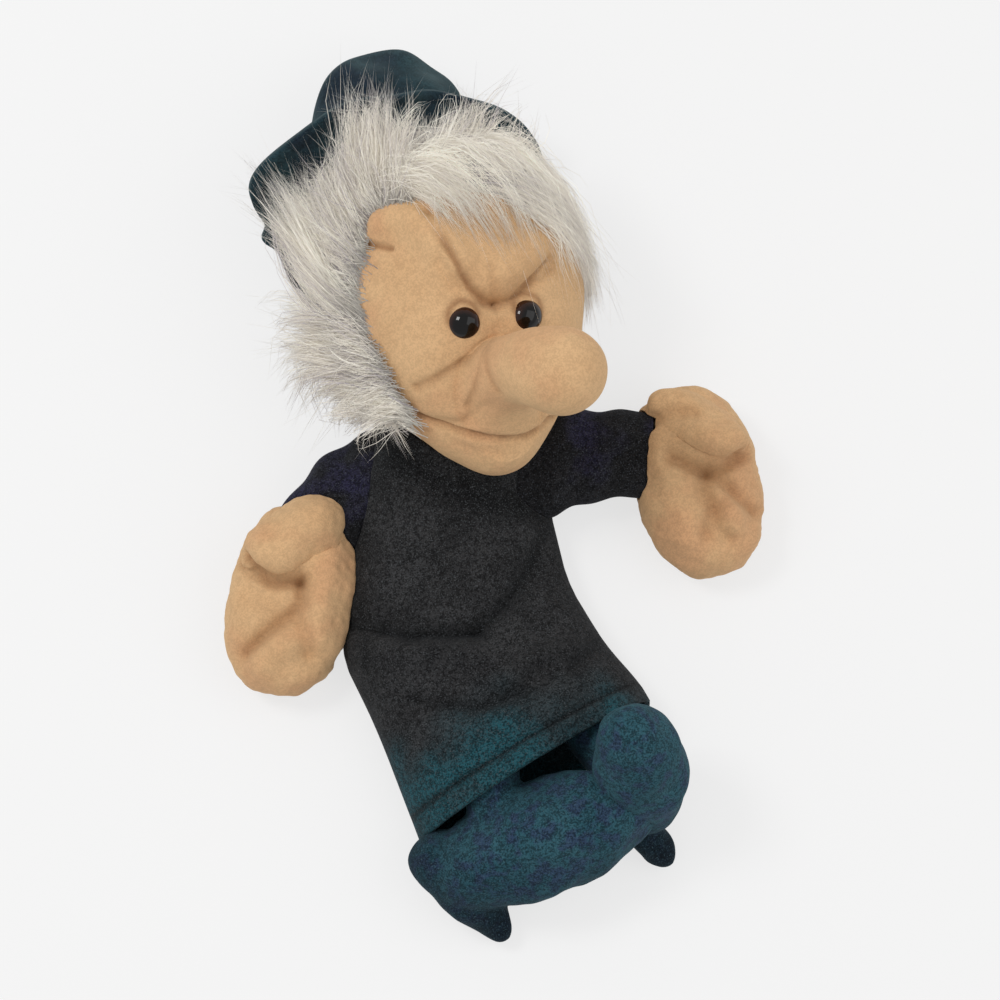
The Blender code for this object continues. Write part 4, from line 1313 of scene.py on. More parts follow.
@dataclass
class Wig:
    """The fur wig: a thick mat on the head, fans of long locks, and hairs combed over the rest."""

    head: Head
    hat: "Hat"
    pile: float = 6.0 * MM
    hair_radius: float = 0.16 * MM
    steps: int = 5
    lowest_root: float = -35.0 * MM
    comb_reach: float = 8.5 * MM
    flow_reach: float = 10.0 * MM
    root_fray: tuple[float, float, float] = (2.2, 1.4, 1.1)
    stray_share: float = 0.16
    stray_reach: tuple[float, float, float] = (0.0, 3.0, 7.0)
    tufts: tuple = (
        ((-0.67, 0.72, -0.05), 30.0 * MM, 24.0),
        ((-0.88, 0.20, -0.25), 12.0 * MM, 24.0),
        ((-0.86, -0.28, -0.38), 23.0 * MM, 17.0),
        ((-0.25, 0.96, 0.16), 19.0 * MM, 20.0),
        ((0.30, 0.90, 0.30), 10.0 * MM, 26.0),
    )
    edge: tuple = (
        (-180, 70), (-150, 76), (-128, 84), (-105, 118), (-90, 130), (-70, 120), (-45, 98), (-15, 88),
        (10, 80), (22, 56), (50, 38), (86, 41), (103, 50), (124, 60), (147, 64), (180, 70),
    )
    combs: tuple[Comb, ...] = (
        Comb((-43, -8, 13), (-0.2, 0.7, -0.7), 30, 16),
        Comb((-42, 6, 18), (-0.2, 0.65, -0.75), 30, 16),
        Comb((-35, 22, 21), (-0.3, 0.5, -0.8), 28, 16),
        Comb((-29, 32, 18), (-0.1, 0.5, -0.9), 26, 16),
        Comb((-24, 42, 8), (0.2, 0.3, -1.0), 22, 18),
        Comb((-12, 48, 8), (0.4, 0.2, -1.0), 18, 16),
        Comb((2, 50, 4), (0.6, 0.1, -1.0), 16, 20),
        Comb((16, 49, 0), (0.6, 0.1, -1.0), 15, 17),
        Comb((32, 41, -4), (0.7, -0.2, -0.8), 17, 12),
        Comb((-22, 35, 27), (1.0, 0.30, 0.3), 50, 6),
        Comb((-10, 40, 28), (1.0, 0.0, 0.1), 46, 6),
        Comb((4, 42, 28), (1.0, -0.35, 0.0), 40, 7),
        Comb((20, 38, 23), (0.8, -0.8, 0.1), 34, 6),
        Comb((35, 28, 16), (0.45, -0.9, 0.0), 30, 5),
        Comb((46, 10, 6), (0.1, -1.0, -0.1), 24, 5),
        Comb((48, -4, -8), (0.0, -1.0, -0.4), 20, 5),
        Comb((40, -20, -15), (-0.2, -1.0, -0.3), 16, 4),
        Comb((44, 20, -15), (0.2, -0.7, -0.7), 20, 6),
        Comb((0, 10, -44), (0.0, -1.0, 0.0), 20, 3),
        Comb((25, 5, -38), (0.1, -1.0, 0.0), 20, 4),
        Comb((-25, 0, -38), (-1.0, -0.3, 0.2), 22, 9),
        Comb((-34, 25, -24), (-0.8, 0.5, 0.0), 22, 22),
        Comb((-43, 4, -18), (-0.4, 0.6, -0.4), 22, 22),
        Comb((-44, -14, 6), (-0.1, 0.15, -1.0), 26, 18),
        Comb((-42, -22, -5), (-0.3, -0.3, -1.0), 14, 15),
        Comb((-36, -32, -8), (-0.1, -0.6, -0.8), 8, 8),
    )

    def edge_angle(self, azimuth: np.ndarray) -> np.ndarray:
        """The angle from the face's middle at which the wig starts, for azimuths about the face."""
        marks = np.array(self.edge, float)
        return np.radians(np.interp(np.degrees(azimuth), marks[:, 0], marks[:, 1]))

    def mat(self, polar: np.ndarray, azimuth: np.ndarray) -> np.ndarray:
        """The mat: the outer half of the rings run from its middle to its edge, the rest back inside.

        Args:
            polar: The polar angle.
            azimuth: The azimuth about the face.

        Returns:
            The points in the head's frame.
        """
        outside = polar < math.pi / 2
        share = np.where(outside, polar, math.pi - polar) / (math.pi / 2)
        angle = (math.pi - share * (math.pi - self.edge_angle(azimuth)))[:, None]
        directions = np.hstack([
            np.sin(angle) * np.cos(azimuth)[:, None],
            np.sin(angle) * np.sin(azimuth)[:, None],
            np.cos(angle),
        ])
        skin = self.head.skin(directions, 0.6 * MM)
        pile = np.full(len(polar), self.pile * 0.55)
        for way, reach, spread in self.tufts:
            pile += 0.42 * reach * lobe(directions, self.head.place.direction(way), spread)
        pile += 0.9 * MM * ripple(skin, 9 * MM, 8) * share
        pile = np.where(outside, pile * np.sqrt(np.clip(1 - share ** 3, 0, 1)), 0.0)
        points = skin + pile[:, None] * directions
        axis = self.head.place.direction(self.hat.way)
        depth = points @ axis
        seat = self.hat.seat - self.hat.wall / 2 - 0.3 * MM
        points = points * np.where(depth > seat, seat / np.maximum(depth, MM), 1.0)[:, None]
        return self.head.place.keep_above(points, np.where(outside, 2.9 * MM, 0.0))

    def roots(self, dice: np.random.Generator, count: int, low: float, high: float) -> np.ndarray:
        """Pick root directions on the wig, even over a band of the world's heights.

        Args:
            dice: The seeded source of chance.
            count: How many are wanted.
            low: The lowest world height of a root.
            high: The highest.

        Returns:
            Unit directions in the head's frame.
        """
        ways = rows_unit(dice.normal(size=(count * 14, 3)))
        azimuth = np.arctan2(ways[:, 1], ways[:, 0])
        angle = np.arccos(np.clip(ways[:, 2], -1, 1))
        blur = np.radians(dice.normal(0, 1.5, len(ways)))
        points = self.head.skin(ways)
        height = self.head.place.to_world(points)[:, 2]
        depth = points @ self.head.place.direction(self.hat.way)
        kept = (angle > self.edge_angle(azimuth) + blur) & (height > low) & (height <= high)
        kept &= (depth < self.hat.seat - 6 * MM) & (points[:, 1] > self.lowest_root)
        return ways[kept][:count]

    def paths(self, ways: np.ndarray, length: np.ndarray, rise: np.ndarray, stray: np.ndarray) -> np.ndarray:
        """Hair paths: steps along the skin in the combed way, lifted as the power 1.4 of the way along.

        Args:
            ways: Root directions in the head's frame.
            length: A factor on each hair's length.
            rise: A factor on how far it stands off.
            stray: A turn in radians of each hair from the combed way.

        Returns:
            Points as hairs by steps by three.
        """
        spots = np.array([comb.spot for comb in self.combs], float) * MM
        flows = rows_unit(np.array([comb.way for comb in self.combs], float))
        reach = np.array([(comb.length, comb.rise) for comb in self.combs]) * MM
        point = self.head.skin(ways, 0.2 * MM)
        weights = np.exp(-(np.linalg.norm(point[:, None] - spots, axis=2) / self.comb_reach) ** 2) + 1e-9
        weights /= weights.sum(axis=1, keepdims=True)
        along, lift = (weights @ reach).T
        along = along * length
        lift = lift * rise
        made = [point]
        direction = rows_unit(point)
        for step in range(1, self.steps):
            share = step / (self.steps - 1)
            base = self.head.skin(direction, 0.2 * MM)
            weights = np.exp(-(np.linalg.norm(base[:, None] - spots, axis=2) / self.flow_reach) ** 2) + 1e-9
            flow = rows_unit(weights @ flows)
            flow = rows_unit(flow - (flow * direction).sum(axis=1, keepdims=True) * direction)
            aside = np.cross(direction, flow)
            flow = flow * np.cos(stray)[:, None] + aside * np.sin(stray)[:, None]
            moved = base + flow * (along / (self.steps - 1))[:, None]
            direction = rows_unit(moved)
            height = 0.4 * MM + lift * share ** 1.4
            made.append(self.head.skin(direction, 0.2 * MM) + height[:, None] * direction)
        return np.stack(made, axis=1)

    def clear_of_hat(self, points: np.ndarray) -> np.ndarray:
        """Keep hairs on the head's side of the brim, and above the floor.

        Args:
            points: World points in rows.

        Returns:
            The points, those in the brim's way moved back along the crown's axis.
        """
        way, _, _ = self.hat.axes()
        off = points - self.hat.middle()
        depth = off @ way
        flat = off - depth[:, None] * way
        reach = np.linalg.norm(flat, axis=1)
        inside = smooth_step((self.hat.outer + 6 * MM - reach) / (4 * MM))
        back = np.maximum(depth + 2.6 * MM, 0) * inside
        points = points - back[:, None] * way
        points[:, 2] = rest_on(points[:, 2], 1.0 * MM)
        return points

    def fanned(self, dice: np.random.Generator, fan: Fan) -> tuple[np.ndarray, np.ndarray]:
        """Hairs of a fan: square curves through a root, a middle and a tip, drawn towards a clump's.

        Args:
            dice: The seeded source of chance.
            fan: The fan.

        Returns:
            Points as hairs by steps by three in the head's frame, and a tone for each hair.
        """
        marks = np.array(fan.locks, float) * MM
        where = dice.uniform(0, len(marks) - 1, fan.clumps)
        first = np.minimum(where.astype(int), len(marks) - 2)
        share = (where - first)[:, None, None]
        guides = marks[first] * (1 - share) + marks[first + 1] * share
        guides = guides + dice.normal(size=guides.shape) * (np.array(fan.spread) * MM)[None, :, None]
        back = dice.uniform(0, 1, fan.clumps) ** 1.8 * fan.depth * MM
        guides[:, :, 2] -= back[:, None] * np.array([1.0, 0.75, 0.4])
        which = dice.integers(0, fan.clumps, fan.count)
        fray = (np.array(self.root_fray) * MM)[None, :, None]
        own = guides[which] + dice.normal(size=(fan.count, 3, 3)) * fray
        stray = (dice.random(fan.count) < self.stray_share)[:, None, None] * dice.normal(size=own.shape)
        own = own + stray * (np.array(self.stray_reach) * MM)[None, :, None]
        root = self.head.skin(rows_unit(own[:, 0]), 0.1 * MM)
        bend = 2 * own[:, 1] - (root + own[:, 2]) / 2
        share = np.linspace(0, 1, self.steps)[None, :, None] * dice.uniform(0.5, 1.04, (fan.count, 1, 1))
        lines = (1 - share) ** 2 * root[:, None] + 2 * share * (1 - share) * bend[:, None]
        lines = lines + share ** 2 * own[:, 2:]
        wave = np.sin(2 * math.pi * (1.3 * share + dice.random((fan.count, 1, 1))))
        lines = lines + 0.7 * MM * wave * share * rows_unit(dice.normal(size=(fan.count, 1, 3)))
        tone = fan.pale + dice.uniform(0, 1, fan.count) * 0.5 + dice.uniform(0, 1, fan.clumps)[which] * 0.5
        return lines, tone

    def combed(
        self, dice: np.random.Generator, count: int, clumps: int, low: float, high: float,
    ) -> tuple[np.ndarray, np.ndarray]:
        """Hairs in clumps: each follows its clump's guide and closes in on it towards the tip.

        Args:
            dice: The seeded source of chance.
            count: How many hairs.
            clumps: How many clumps.
            low: The lowest world height of a root.
            high: The highest.

        Returns:
            Points as hairs by steps by three in the head's frame, and a tone for each hair.
        """
        guide_ways = self.roots(dice, clumps, low, high)
        clumps = len(guide_ways)
        guides = self.paths(
            guide_ways,
            dice.uniform(0.75, 1.1, clumps),
            dice.uniform(0.45, 1.1, clumps),
            dice.normal(0, 0.16, clumps),
        )
        ways = self.roots(dice, count, low, high)
        count = len(ways)
        own = self.paths(
            ways,
            dice.uniform(0.6, 1.15, count),
            dice.uniform(0.3, 1.15, count),
            dice.normal(0, 0.22, count),
        )
        nearest = np.array([
            np.argmin(np.linalg.norm(guides[:, 0] - root, axis=1)) for root in own[:, 0]
        ])
        share = np.linspace(0, 1, self.steps)[None, :, None]
        pull = dice.uniform(0.25, 0.8, (count, 1, 1)) * (dice.random((count, 1, 1)) > 0.12)
        guide = guides[nearest]
        led = guide + (own[:, :1] - guide[:, :1]) * (1 - 0.6 * share)
        lines = own + (led - own) * pull * smooth_step(share * 1.4)
        lines = lines + dice.normal(0, 0.9 * MM, (count, 1, 3)) * share
        tone = dice.uniform(0, 1, count) * 0.55 + dice.uniform(0, 1, clumps)[nearest] * 0.45
        return lines, tone

    def tubes(self, dice: np.random.Generator, lines: np.ndarray, tone: np.ndarray) -> Skin:
        """Hairs as three-sided tubes that narrow to a point, closed at both ends.

        Args:
            dice: The seeded source of chance.
            lines: Points as hairs by steps by three in the head's frame.
            tone: A tone for each hair.

        Returns:
            The skin of all the hairs, in the world.
        """
        count = len(lines)
        share = np.linspace(0, 1, self.steps)[None, :, None]
        lines = lines + dice.normal(0, 0.3 * MM, (count, self.steps, 3)) * np.sqrt(share) * (share > 0)
        flat = lines.reshape(-1, 3)
        layer = (dice.uniform(0, 3.0 * MM, (count, 1, 1)) * np.sqrt(share)).reshape(-1)
        skin = np.linalg.norm(self.head.skin(rows_unit(flat), 0.15 * MM), axis=1) + layer
        out = np.maximum(1, skin / np.maximum(np.linalg.norm(flat, axis=1), MM))
        world = self.head.place.to_world(flat * out[:, None])
        lines = self.clear_of_hat(world).reshape(count, self.steps, 3)
        run = rows_unit(np.gradient(lines, axis=1))
        outward = rows_unit(lines - np.array(self.head.place.origin))
        side = rows_unit(np.cross(run, outward))
        over = np.cross(side, run)
        radius = self.hair_radius * dice.uniform(0.7, 1.25, (count, 1, 1)) * (1 - 0.72 * share)
        rings = [
            lines + radius * (math.cos(turn) * side + math.sin(turn) * over)
            for turn in (math.pi / 2, math.pi * 7 / 6, math.pi * 11 / 6)
        ]
        rings = np.stack(rings, axis=2)[:, :-1]
        body = (self.steps - 1) * 3
        points = np.concatenate([rings.reshape(count, body, 3), lines[:, -1:]], axis=1)
        step, corner = np.meshgrid(np.arange(self.steps - 2), np.arange(3), indexing="ij")
        here = (step * 3 + corner).ravel()
        beside = (step * 3 + (corner + 1) % 3).ravel()
        walls = np.concatenate([
            np.stack([here, beside, beside + 3], axis=-1),
            np.stack([here, beside + 3, here + 3], axis=-1),
        ])
        low_ring = (self.steps - 2) * 3
        tip = np.array([[low_ring + i, low_ring + (i + 1) % 3, body] for i in range(3)])
        one = np.concatenate([walls, tip, [[0, 2, 1]]])
        faces = (np.arange(count)[:, None, None] * (body + 1) + one[None]).reshape(-1, 3)
        along = np.concatenate([np.repeat(np.linspace(0, 1, self.steps)[:-1], 3), [1.0]])
        made = Skin(points.reshape(-1, 3), NO_QUADS, faces)
        made.values["tone"] = np.repeat(tone, body + 1)
        made.values["along"] = np.tile(along, count)
        return made.face_out()

    def build(self, bench: Bench, finish: Finish) -> None:
        """Build the mat and the pieces of hair.

        Args:
            bench: Where the pieces are made.
            finish: Their material.
        """
        mat = ball(140, 92, self.mat)
        # The mat is painted dark, at low tones and as if all of it lay at the hairs' roots: painted shade
        # between the hairs.
        mat.values["tone"] = np.clip(0.2 + 0.25 * ripple(mat.points, 3 * MM, 11), 0, 1)
        mat.values["along"] = np.full(len(mat.points), 0.05)
        mat.points = self.head.place.to_world(mat.points)
        bench.piece("wig_mat", mat, finish, Slot.FUR, ["wig"])
        dice = np.random.default_rng(21)
        groups = {
            "wig_hair_left": [self.fanned(dice, MANE), self.fanned(dice, SHOULDER_TUFT)],
            "wig_hair_seam": [self.fanned(dice, SEAM_FRINGE)],
            "wig_hair_top": [self.fanned(dice, FOREHEAD_COMB), self.fanned(dice, HAT_WISPS)],
            "wig_hair_side": [self.combed(dice, 3400, 170, 38 * MM, 200 * MM)],
            "wig_hair_back": [self.combed(dice, 3000, 190, 5 * MM, 38 * MM)],
        }
        for name, made in groups.items():
            lines = np.concatenate([lines for lines, _ in made])
            tone = np.concatenate([tone for _, tone in made])
            bench.piece(name, self.tubes(dice, lines, tone), finish, Slot.FUR, ["wig"])


# The hat


@dataclass
class Hat:
    """The soft hat: a floppy brim behind the head, and a crushed crown."""

    head: Head
    way: tuple[float, float, float] = (-0.077, 0.819, -0.564)
    seat: float = 56.0 * MM
    shift: float = -2.0 * MM
    wall: float = 2.6 * MM
    inner: float = 28.0 * MM
    outer: float = 53.0 * MM
    wave: float = 3.0 * MM
    tip_reach: float = 10.0 * MM
    tip_angle: float = 143.0
    tip_spread: float = 15.0
    nub_reach: float = 4.0 * MM
    nub_angle: float = 168.0
    nub_spread: float = 4.0
    flutter: tuple[float, float] = (1.3 * MM, 0.9 * MM)
    stitch: float = 0.86
    crown_way: tuple[float, float, float] = (0.06, 0.98, -0.06)
    crown_shift: float = 3.0 * MM
    crown_radius: float = 32.5 * MM
    crown_length: float = 56.5 * MM
    crush: float = 0.75
    base_share: float = 0.25
    dent: float = 3.0 * MM
    crumple: float = 1.9 * MM

    def axes(self) -> tuple[np.ndarray, np.ndarray, np.ndarray]:
        """The hat's own directions.

        Returns:
            The way out to the brim, the way across it, and the way up its slope.
        """
        way = unit(self.way)
        across = unit(np.cross(way, (0, 0, 1)))
        return way, across, np.cross(across, way)

    def middle(self) -> np.ndarray:
        """The middle of the brim in the world."""
        way, across, _ = self.axes()
        return np.array(self.head.place.origin) + self.seat * way + self.shift * across

    def brim(self, angle_share: np.ndarray, radius_share: np.ndarray) -> np.ndarray:
        """The brim: a disc with a wavy edge and small ripples, bent to lie flat where it meets the floor.

        Args:
            angle_share: The share of a turn round the brim.
            radius_share: The share of the way from its inner to its outer edge.

        Returns:
            World points.
        """
        way, across, slope = self.axes()
        angle = 2 * math.pi * angle_share
        tip = np.exp(-((np.degrees(angle) - self.tip_angle) / self.tip_spread) ** 2)
        nub = np.exp(-((np.degrees(angle) - self.nub_angle) / self.nub_spread) ** 2)
        outer = self.outer + self.tip_reach * tip + self.nub_reach * nub + self.wave * np.cos(3 * angle)
        radius = self.inner + (outer - self.inner) * radius_share
        points = self.middle() + radius[:, None] * (
            np.cos(angle)[:, None] * across + np.sin(angle)[:, None] * slope)
        wide, narrow = self.flutter
        flutter = wide * np.sin(7 * angle + 0.6) + narrow * np.sin(11 * angle + 2.0)
        points = points + (flutter * radius_share ** 2)[:, None] * way
        floor = self.wall / 2
        past = np.maximum(floor - points[:, 2], 0) / slope[2]
        level = unit((slope[0], slope[1], 0))
        points = points + past[:, None] * (slope - level)
        points[:, 2] = np.maximum(points[:, 2], floor)
        return points

    def crown(self, polar: np.ndarray, azimuth: np.ndarray) -> np.ndarray:
        """The crown: a flat base, and a soft dome with dents and gathers, pressed on the floor.

        Args:
            polar: The polar angle, nought at the base's middle.
            azimuth: The angle round the crown.

        Returns:
            World points.
        """
        way, across, slope = self.axes()
        base = self.wall / 2 + 0.6 * MM
        share = np.clip((polar / math.pi - self.base_share) / (1 - self.base_share), 0, 1)
        inner = np.clip(polar / math.pi / self.base_share, 0, 1)
        spread = np.where(share > 0, np.sqrt(np.clip(1 - share ** 5, 0, 1)), inner)
        dent = self.dent * np.sin(2 * azimuth + 0.7) * smooth_step(share * 2)
        crush = 1 - (1 - self.crush) * smooth_step(share / 0.65)
        gathers = 0.7 * MM * np.cos(23 * azimuth + 3 * share) * np.exp(-(share / 0.12) ** 2)
        radius = spread * (self.crown_radius - dent + gathers)
        points = self.middle() + self.crown_shift * across + base * way
        points = points + (self.crown_length * share)[:, None] * unit(self.crown_way)
        points = points + (radius * np.cos(azimuth))[:, None] * across
        points = points + (radius * crush * np.sin(azimuth))[:, None] * slope
        soft = smooth_step(share * 3)
        points = points + (self.crumple * ripple(points, 26 * MM, 5) * soft)[:, None] * unit((0.2, 0.1, 1.0))
        points[:, 2] = rest_on(points[:, 2], 0.0)
        return points

    def build(self, bench: Bench, finish: Finish) -> None:
        """Build the brim and the crown.

        Args:
            bench: Where the pieces are made.
            finish: Their material.
        """
        columns, rows = 240, 26
        brim = cloth(columns, rows, self.brim, around=True)
        angle = 2 * math.pi * np.tile(np.arange(columns) / columns, rows + 1)
        share = np.repeat(np.linspace(0, 1, rows + 1), columns)
        stitch = np.exp(-((share - self.stitch) / 0.035) ** 2) * 0.6
        # Painted shade at the brim's inner edge, where the crown stands on it; darker along the line of
        # stitches too.
        shade = np.maximum(stitch, 0.8 * np.exp(-(share / 0.1) ** 2))
        brim.values["shaded_crease"] = shade * (0.8 + 0.2 * np.cos(90 * angle))
        brim_piece = bench.piece("hat_brim_cloth", brim, finish, Slot.HAT, ["hat_brim"], wall=self.wall)
        crown = ball(180, 110, self.crown)
        way, _, _ = self.axes()
        depth = (crown.points - self.middle()) @ way
        # Painted shade round the crown's base, where it meets the brim.
        crown.values["shaded_crease"] = 0.8 * np.exp(-((depth - 2 * MM) / (1.6 * MM)) ** 2)
        bench.piece("hat_crown_cloth", crown, finish, Slot.HAT, ["hat_crown"])


# The glove


@dataclass
class Glove:
    """The glove's body: a flat back panel and a round, folded front panel, with a turned-up hem."""

    head: Head
    wall: float = 2.0 * MM
    seam_height: float = 9.0 * MM
    seam_gap: float = 0.5 * MM
    hem_turn: float = 14.0
    hem_share: float = 0.33
    hem_band: float = 0.05
    hem_line: float = 0.055
    hem_line_width: float = 0.009
    hem_lift: float = 1.1 * MM
    hem_dip: float = 1.2 * MM
    back_flatness: float = 1.15
    back_sag: float = 0.065
    stations: tuple = (
        (-47.0, 7.0, 46.5, 41.0),
        (-15.0, 1.5, 43.5, 36.0),
        (15.0, -4.0, 42.5, 33.0),
        (45.0, 3.0, 38.0, 34.0),
        (66.0, 9.0, 38.5, 39.0),
        (80.0, 15.0, 33.0, 45.0),
        (92.0, 18.0, 27.0, 47.0),
    )
    folds: tuple[Fold, ...] = (
        Fold(((-45, 24), (-22, 9), (2, 4), (22, 16), (38, 30)), -3.5, 6.0),
        Fold(((-44, 15), (-20, 1), (0, -6)), 2.5, 5.0),
        Fold(((-30, -10), (-8, -22), (14, -22)), -2.5, 5.0),
        Fold(((12, -14), (30, -12), (46, -4)), 3.0, 6.0),
    )
    creases: tuple[Fold, ...] = (
        Fold(((-44, 25), (-22, 10), (2, 3)), -2.6, 2.4, 0.8),
        Fold(((0, 4), (12, 10), (24, 20), (34, 33)), -2.2, 2.4, 0.7),
        Fold(((-42, 18), (-24, 4), (-2, -4)), 2.0, 3.0),
        Fold(((-28, -11), (-8, -23), (10, -23)), -1.8, 2.4, 0.5),
        Fold(((4, -17), (18, -11), (34, -12)), 2.2, 3.0),
        Fold(((28, -20), (44, -8)), -1.8, 2.2, 0.5),
        Fold(((30, 6), (40, -6), (47, -22)), 1.8, 2.6),
        Fold(((-36, 52), (-34, 30), (-38, 8)), -1.4, 2.6, 0.4),
        # A painted shadow of the chin on the chest, with only a slight dip.
        Fold(((-8, 74), (2, 62), (20, 48), (42, 41)), -0.6, 7.0, 0.8),
    )
    flats: tuple = (("front", (0.118, 0.139)), ("back", (0.094, 0.139)))

    def section(self, share: np.ndarray) -> tuple[np.ndarray, ...]:
        """The glove's sizes between its stations, smoothed over 6 mm either way.

        Args:
            share: The share of the way from hem to neck.

        Returns:
            The Y, the middle, the half width and the front height there.
        """
        marks = np.array(self.stations) * MM
        y = marks[0, 0] + share * (marks[-1, 0] - marks[0, 0])
        shifts = (-6 * MM, 0, 6 * MM)
        soft = [[np.interp(y + shift, marks[:, 0], marks[:, i]) for shift in shifts] for i in (1, 2, 3)]
        return (y,) + tuple(sum(three) / 3 for three in soft)

    def skin(self, angle: np.ndarray, share: np.ndarray, offset: float = 0.0) -> np.ndarray:
        """The glove's skin: half ovals over and under a line of seams, with folds in the front.

        Args:
            angle: The angle about the middle, nought at the right seam, and below nought on the back.
            share: The share of the way from hem to neck.
            offset: How far outside the skin the points lie.

        Returns:
            World points.
        """
        y, middle, half, height = self.section(share)
        x = middle - (half + offset) * np.cos(angle)
        rise = np.abs(np.sin(angle))
        front = (height - self.seam_height + offset) * rise
        flatness = np.minimum(1.0, self.back_flatness * np.sqrt(rise))
        back = (self.seam_height - self.wall / 2 + offset) * flatness
        flat = np.column_stack([x, y])
        folds = sum(fold.swell(flat) for fold in self.folds) * rise
        z = self.seam_height + np.where(np.sin(angle) >= 0, front + folds, -back)
        hem = smooth_step(1 - share / self.hem_share)
        y = y + hem * (x - middle) * math.tan(math.radians(self.hem_turn))
        return np.column_stack([x, y, z])

    def hem_furrow(self, along: np.ndarray) -> np.ndarray:
        """A bell over the way along, about the line of the hem's stitches."""
        return np.exp(-((along - self.hem_line) / self.hem_line_width) ** 2)

    def panel(self, front: bool) -> Shape:
        """The shape of a panel, from seam to seam and from hem to neck.

        Args:
            front: Whether it is the front panel.

        Returns:
            The function that gives its points.
        """

        def shape(across: np.ndarray, along: np.ndarray) -> np.ndarray:
            """The skin at these shares, with fine folds and the hem's band on the front.

            Args:
                across: The share of the way from seam to seam.
                along: The share of the way from hem to neck.

            Returns:
                World points.
            """
            angle = math.pi * across if front else -math.pi * across
            sag = 0.0 if front else self.back_sag * np.sin(math.pi * across)
            points = self.skin(angle, along - sag * (1 - along))
            if front:
                rise = np.sin(math.pi * across)
                fine = sum(fold.swell(points[:, :2]) for fold in self.creases)
                fine = fine + 0.9 * MM * ripple(points, 34 * MM, 2) + 0.35 * MM * ripple(points, 13 * MM, 4)
                points[:, 2] += self.seam_gap / 2 + fine * rise
                points[:, 2] += self.hem_lift * smooth_step((self.hem_band - along) / 0.012) * rise
                points[:, 2] -= self.hem_dip * self.hem_furrow(along) * rise
            else:
                points[:, 2] -= self.seam_gap / 2 * (1 - np.sin(math.pi * across))
                points[:, 2] = np.maximum(points[:, 2], self.wall / 2)
            return points

        return shape

    def block(self, offset: float) -> Skin:
        """A closed block of the glove's outline.

        Args:
            offset: How far it is grown.

        Returns:
            The block.
        """

        def shape(polar: np.ndarray, azimuth: np.ndarray) -> np.ndarray:
            """The skin all round, closed to a point in the middle of each end.

            Args:
                polar: The polar angle.
                azimuth: The azimuth.

            Returns:
                World points.
            """
            along = np.clip((polar / math.pi - 0.05) / 0.9, 0, 1) * 1.02 - 0.01
            points = self.skin(azimuth, along, offset)
            y, middle, _, height = self.section(along)
            centre = np.column_stack([middle, y, height / 2])
            return np.where((np.sin(polar) > 0.001)[:, None], points, centre)

        return ball(64, 40, shape)

    def head_room(self) -> Skin:
        """The head's shape without its nose, grown by the gap that two skins keep.

        Returns:
            The shape.
        """

        def shape(polar: np.ndarray, azimuth: np.ndarray) -> np.ndarray:
            """The head's skin in these directions.

            Args:
                polar: The polar angle.
                azimuth: The azimuth.

            Returns:
                World points.
            """
            directions = np.column_stack([
                np.sin(polar) * np.cos(azimuth), np.sin(polar) * np.sin(azimuth), np.cos(polar)])
            return self.head.place.to_world(self.head.skin(directions, 0.9 * MM))

        return ball(64, 40, shape)

    def build(self, bench: Bench, finish: Finish, rooms: list[Piece]) -> None:
        """Build the two panels, cut to the head and opened for the sleeves.

        Args:
            bench: Where the pieces are made.
            finish: Their material.
            rooms: The tools that cut the sleeves' holes.
        """
        rooms = [bench.tool("head_room", self.head_room())] + rooms
        for side, columns, rows in (("front", 150, 120), ("back", 60, 60)):
            skin = cloth(columns, rows, self.panel(side == "front"))
            along = np.repeat(np.linspace(0, 1, rows + 1), columns + 1)
            # Painted shade in the hem's furrow and along the creases, fainter on the back panel.
            shade = 0.9 * self.hem_furrow(along)
            for shaded_crease in self.creases:
                shade = np.maximum(shade, shaded_crease.shade * shaded_crease.bell(skin.points[:, :2]))
            skin.values["shaded_crease"] = shade if side == "front" else shade * 0.4
            name = "glove_" + side
            piece = bench.piece(
                name + "_cloth", skin, finish, Slot.VELOUR, [name], wall=self.wall, rooms=rooms)
            dict(self.flats)[side]


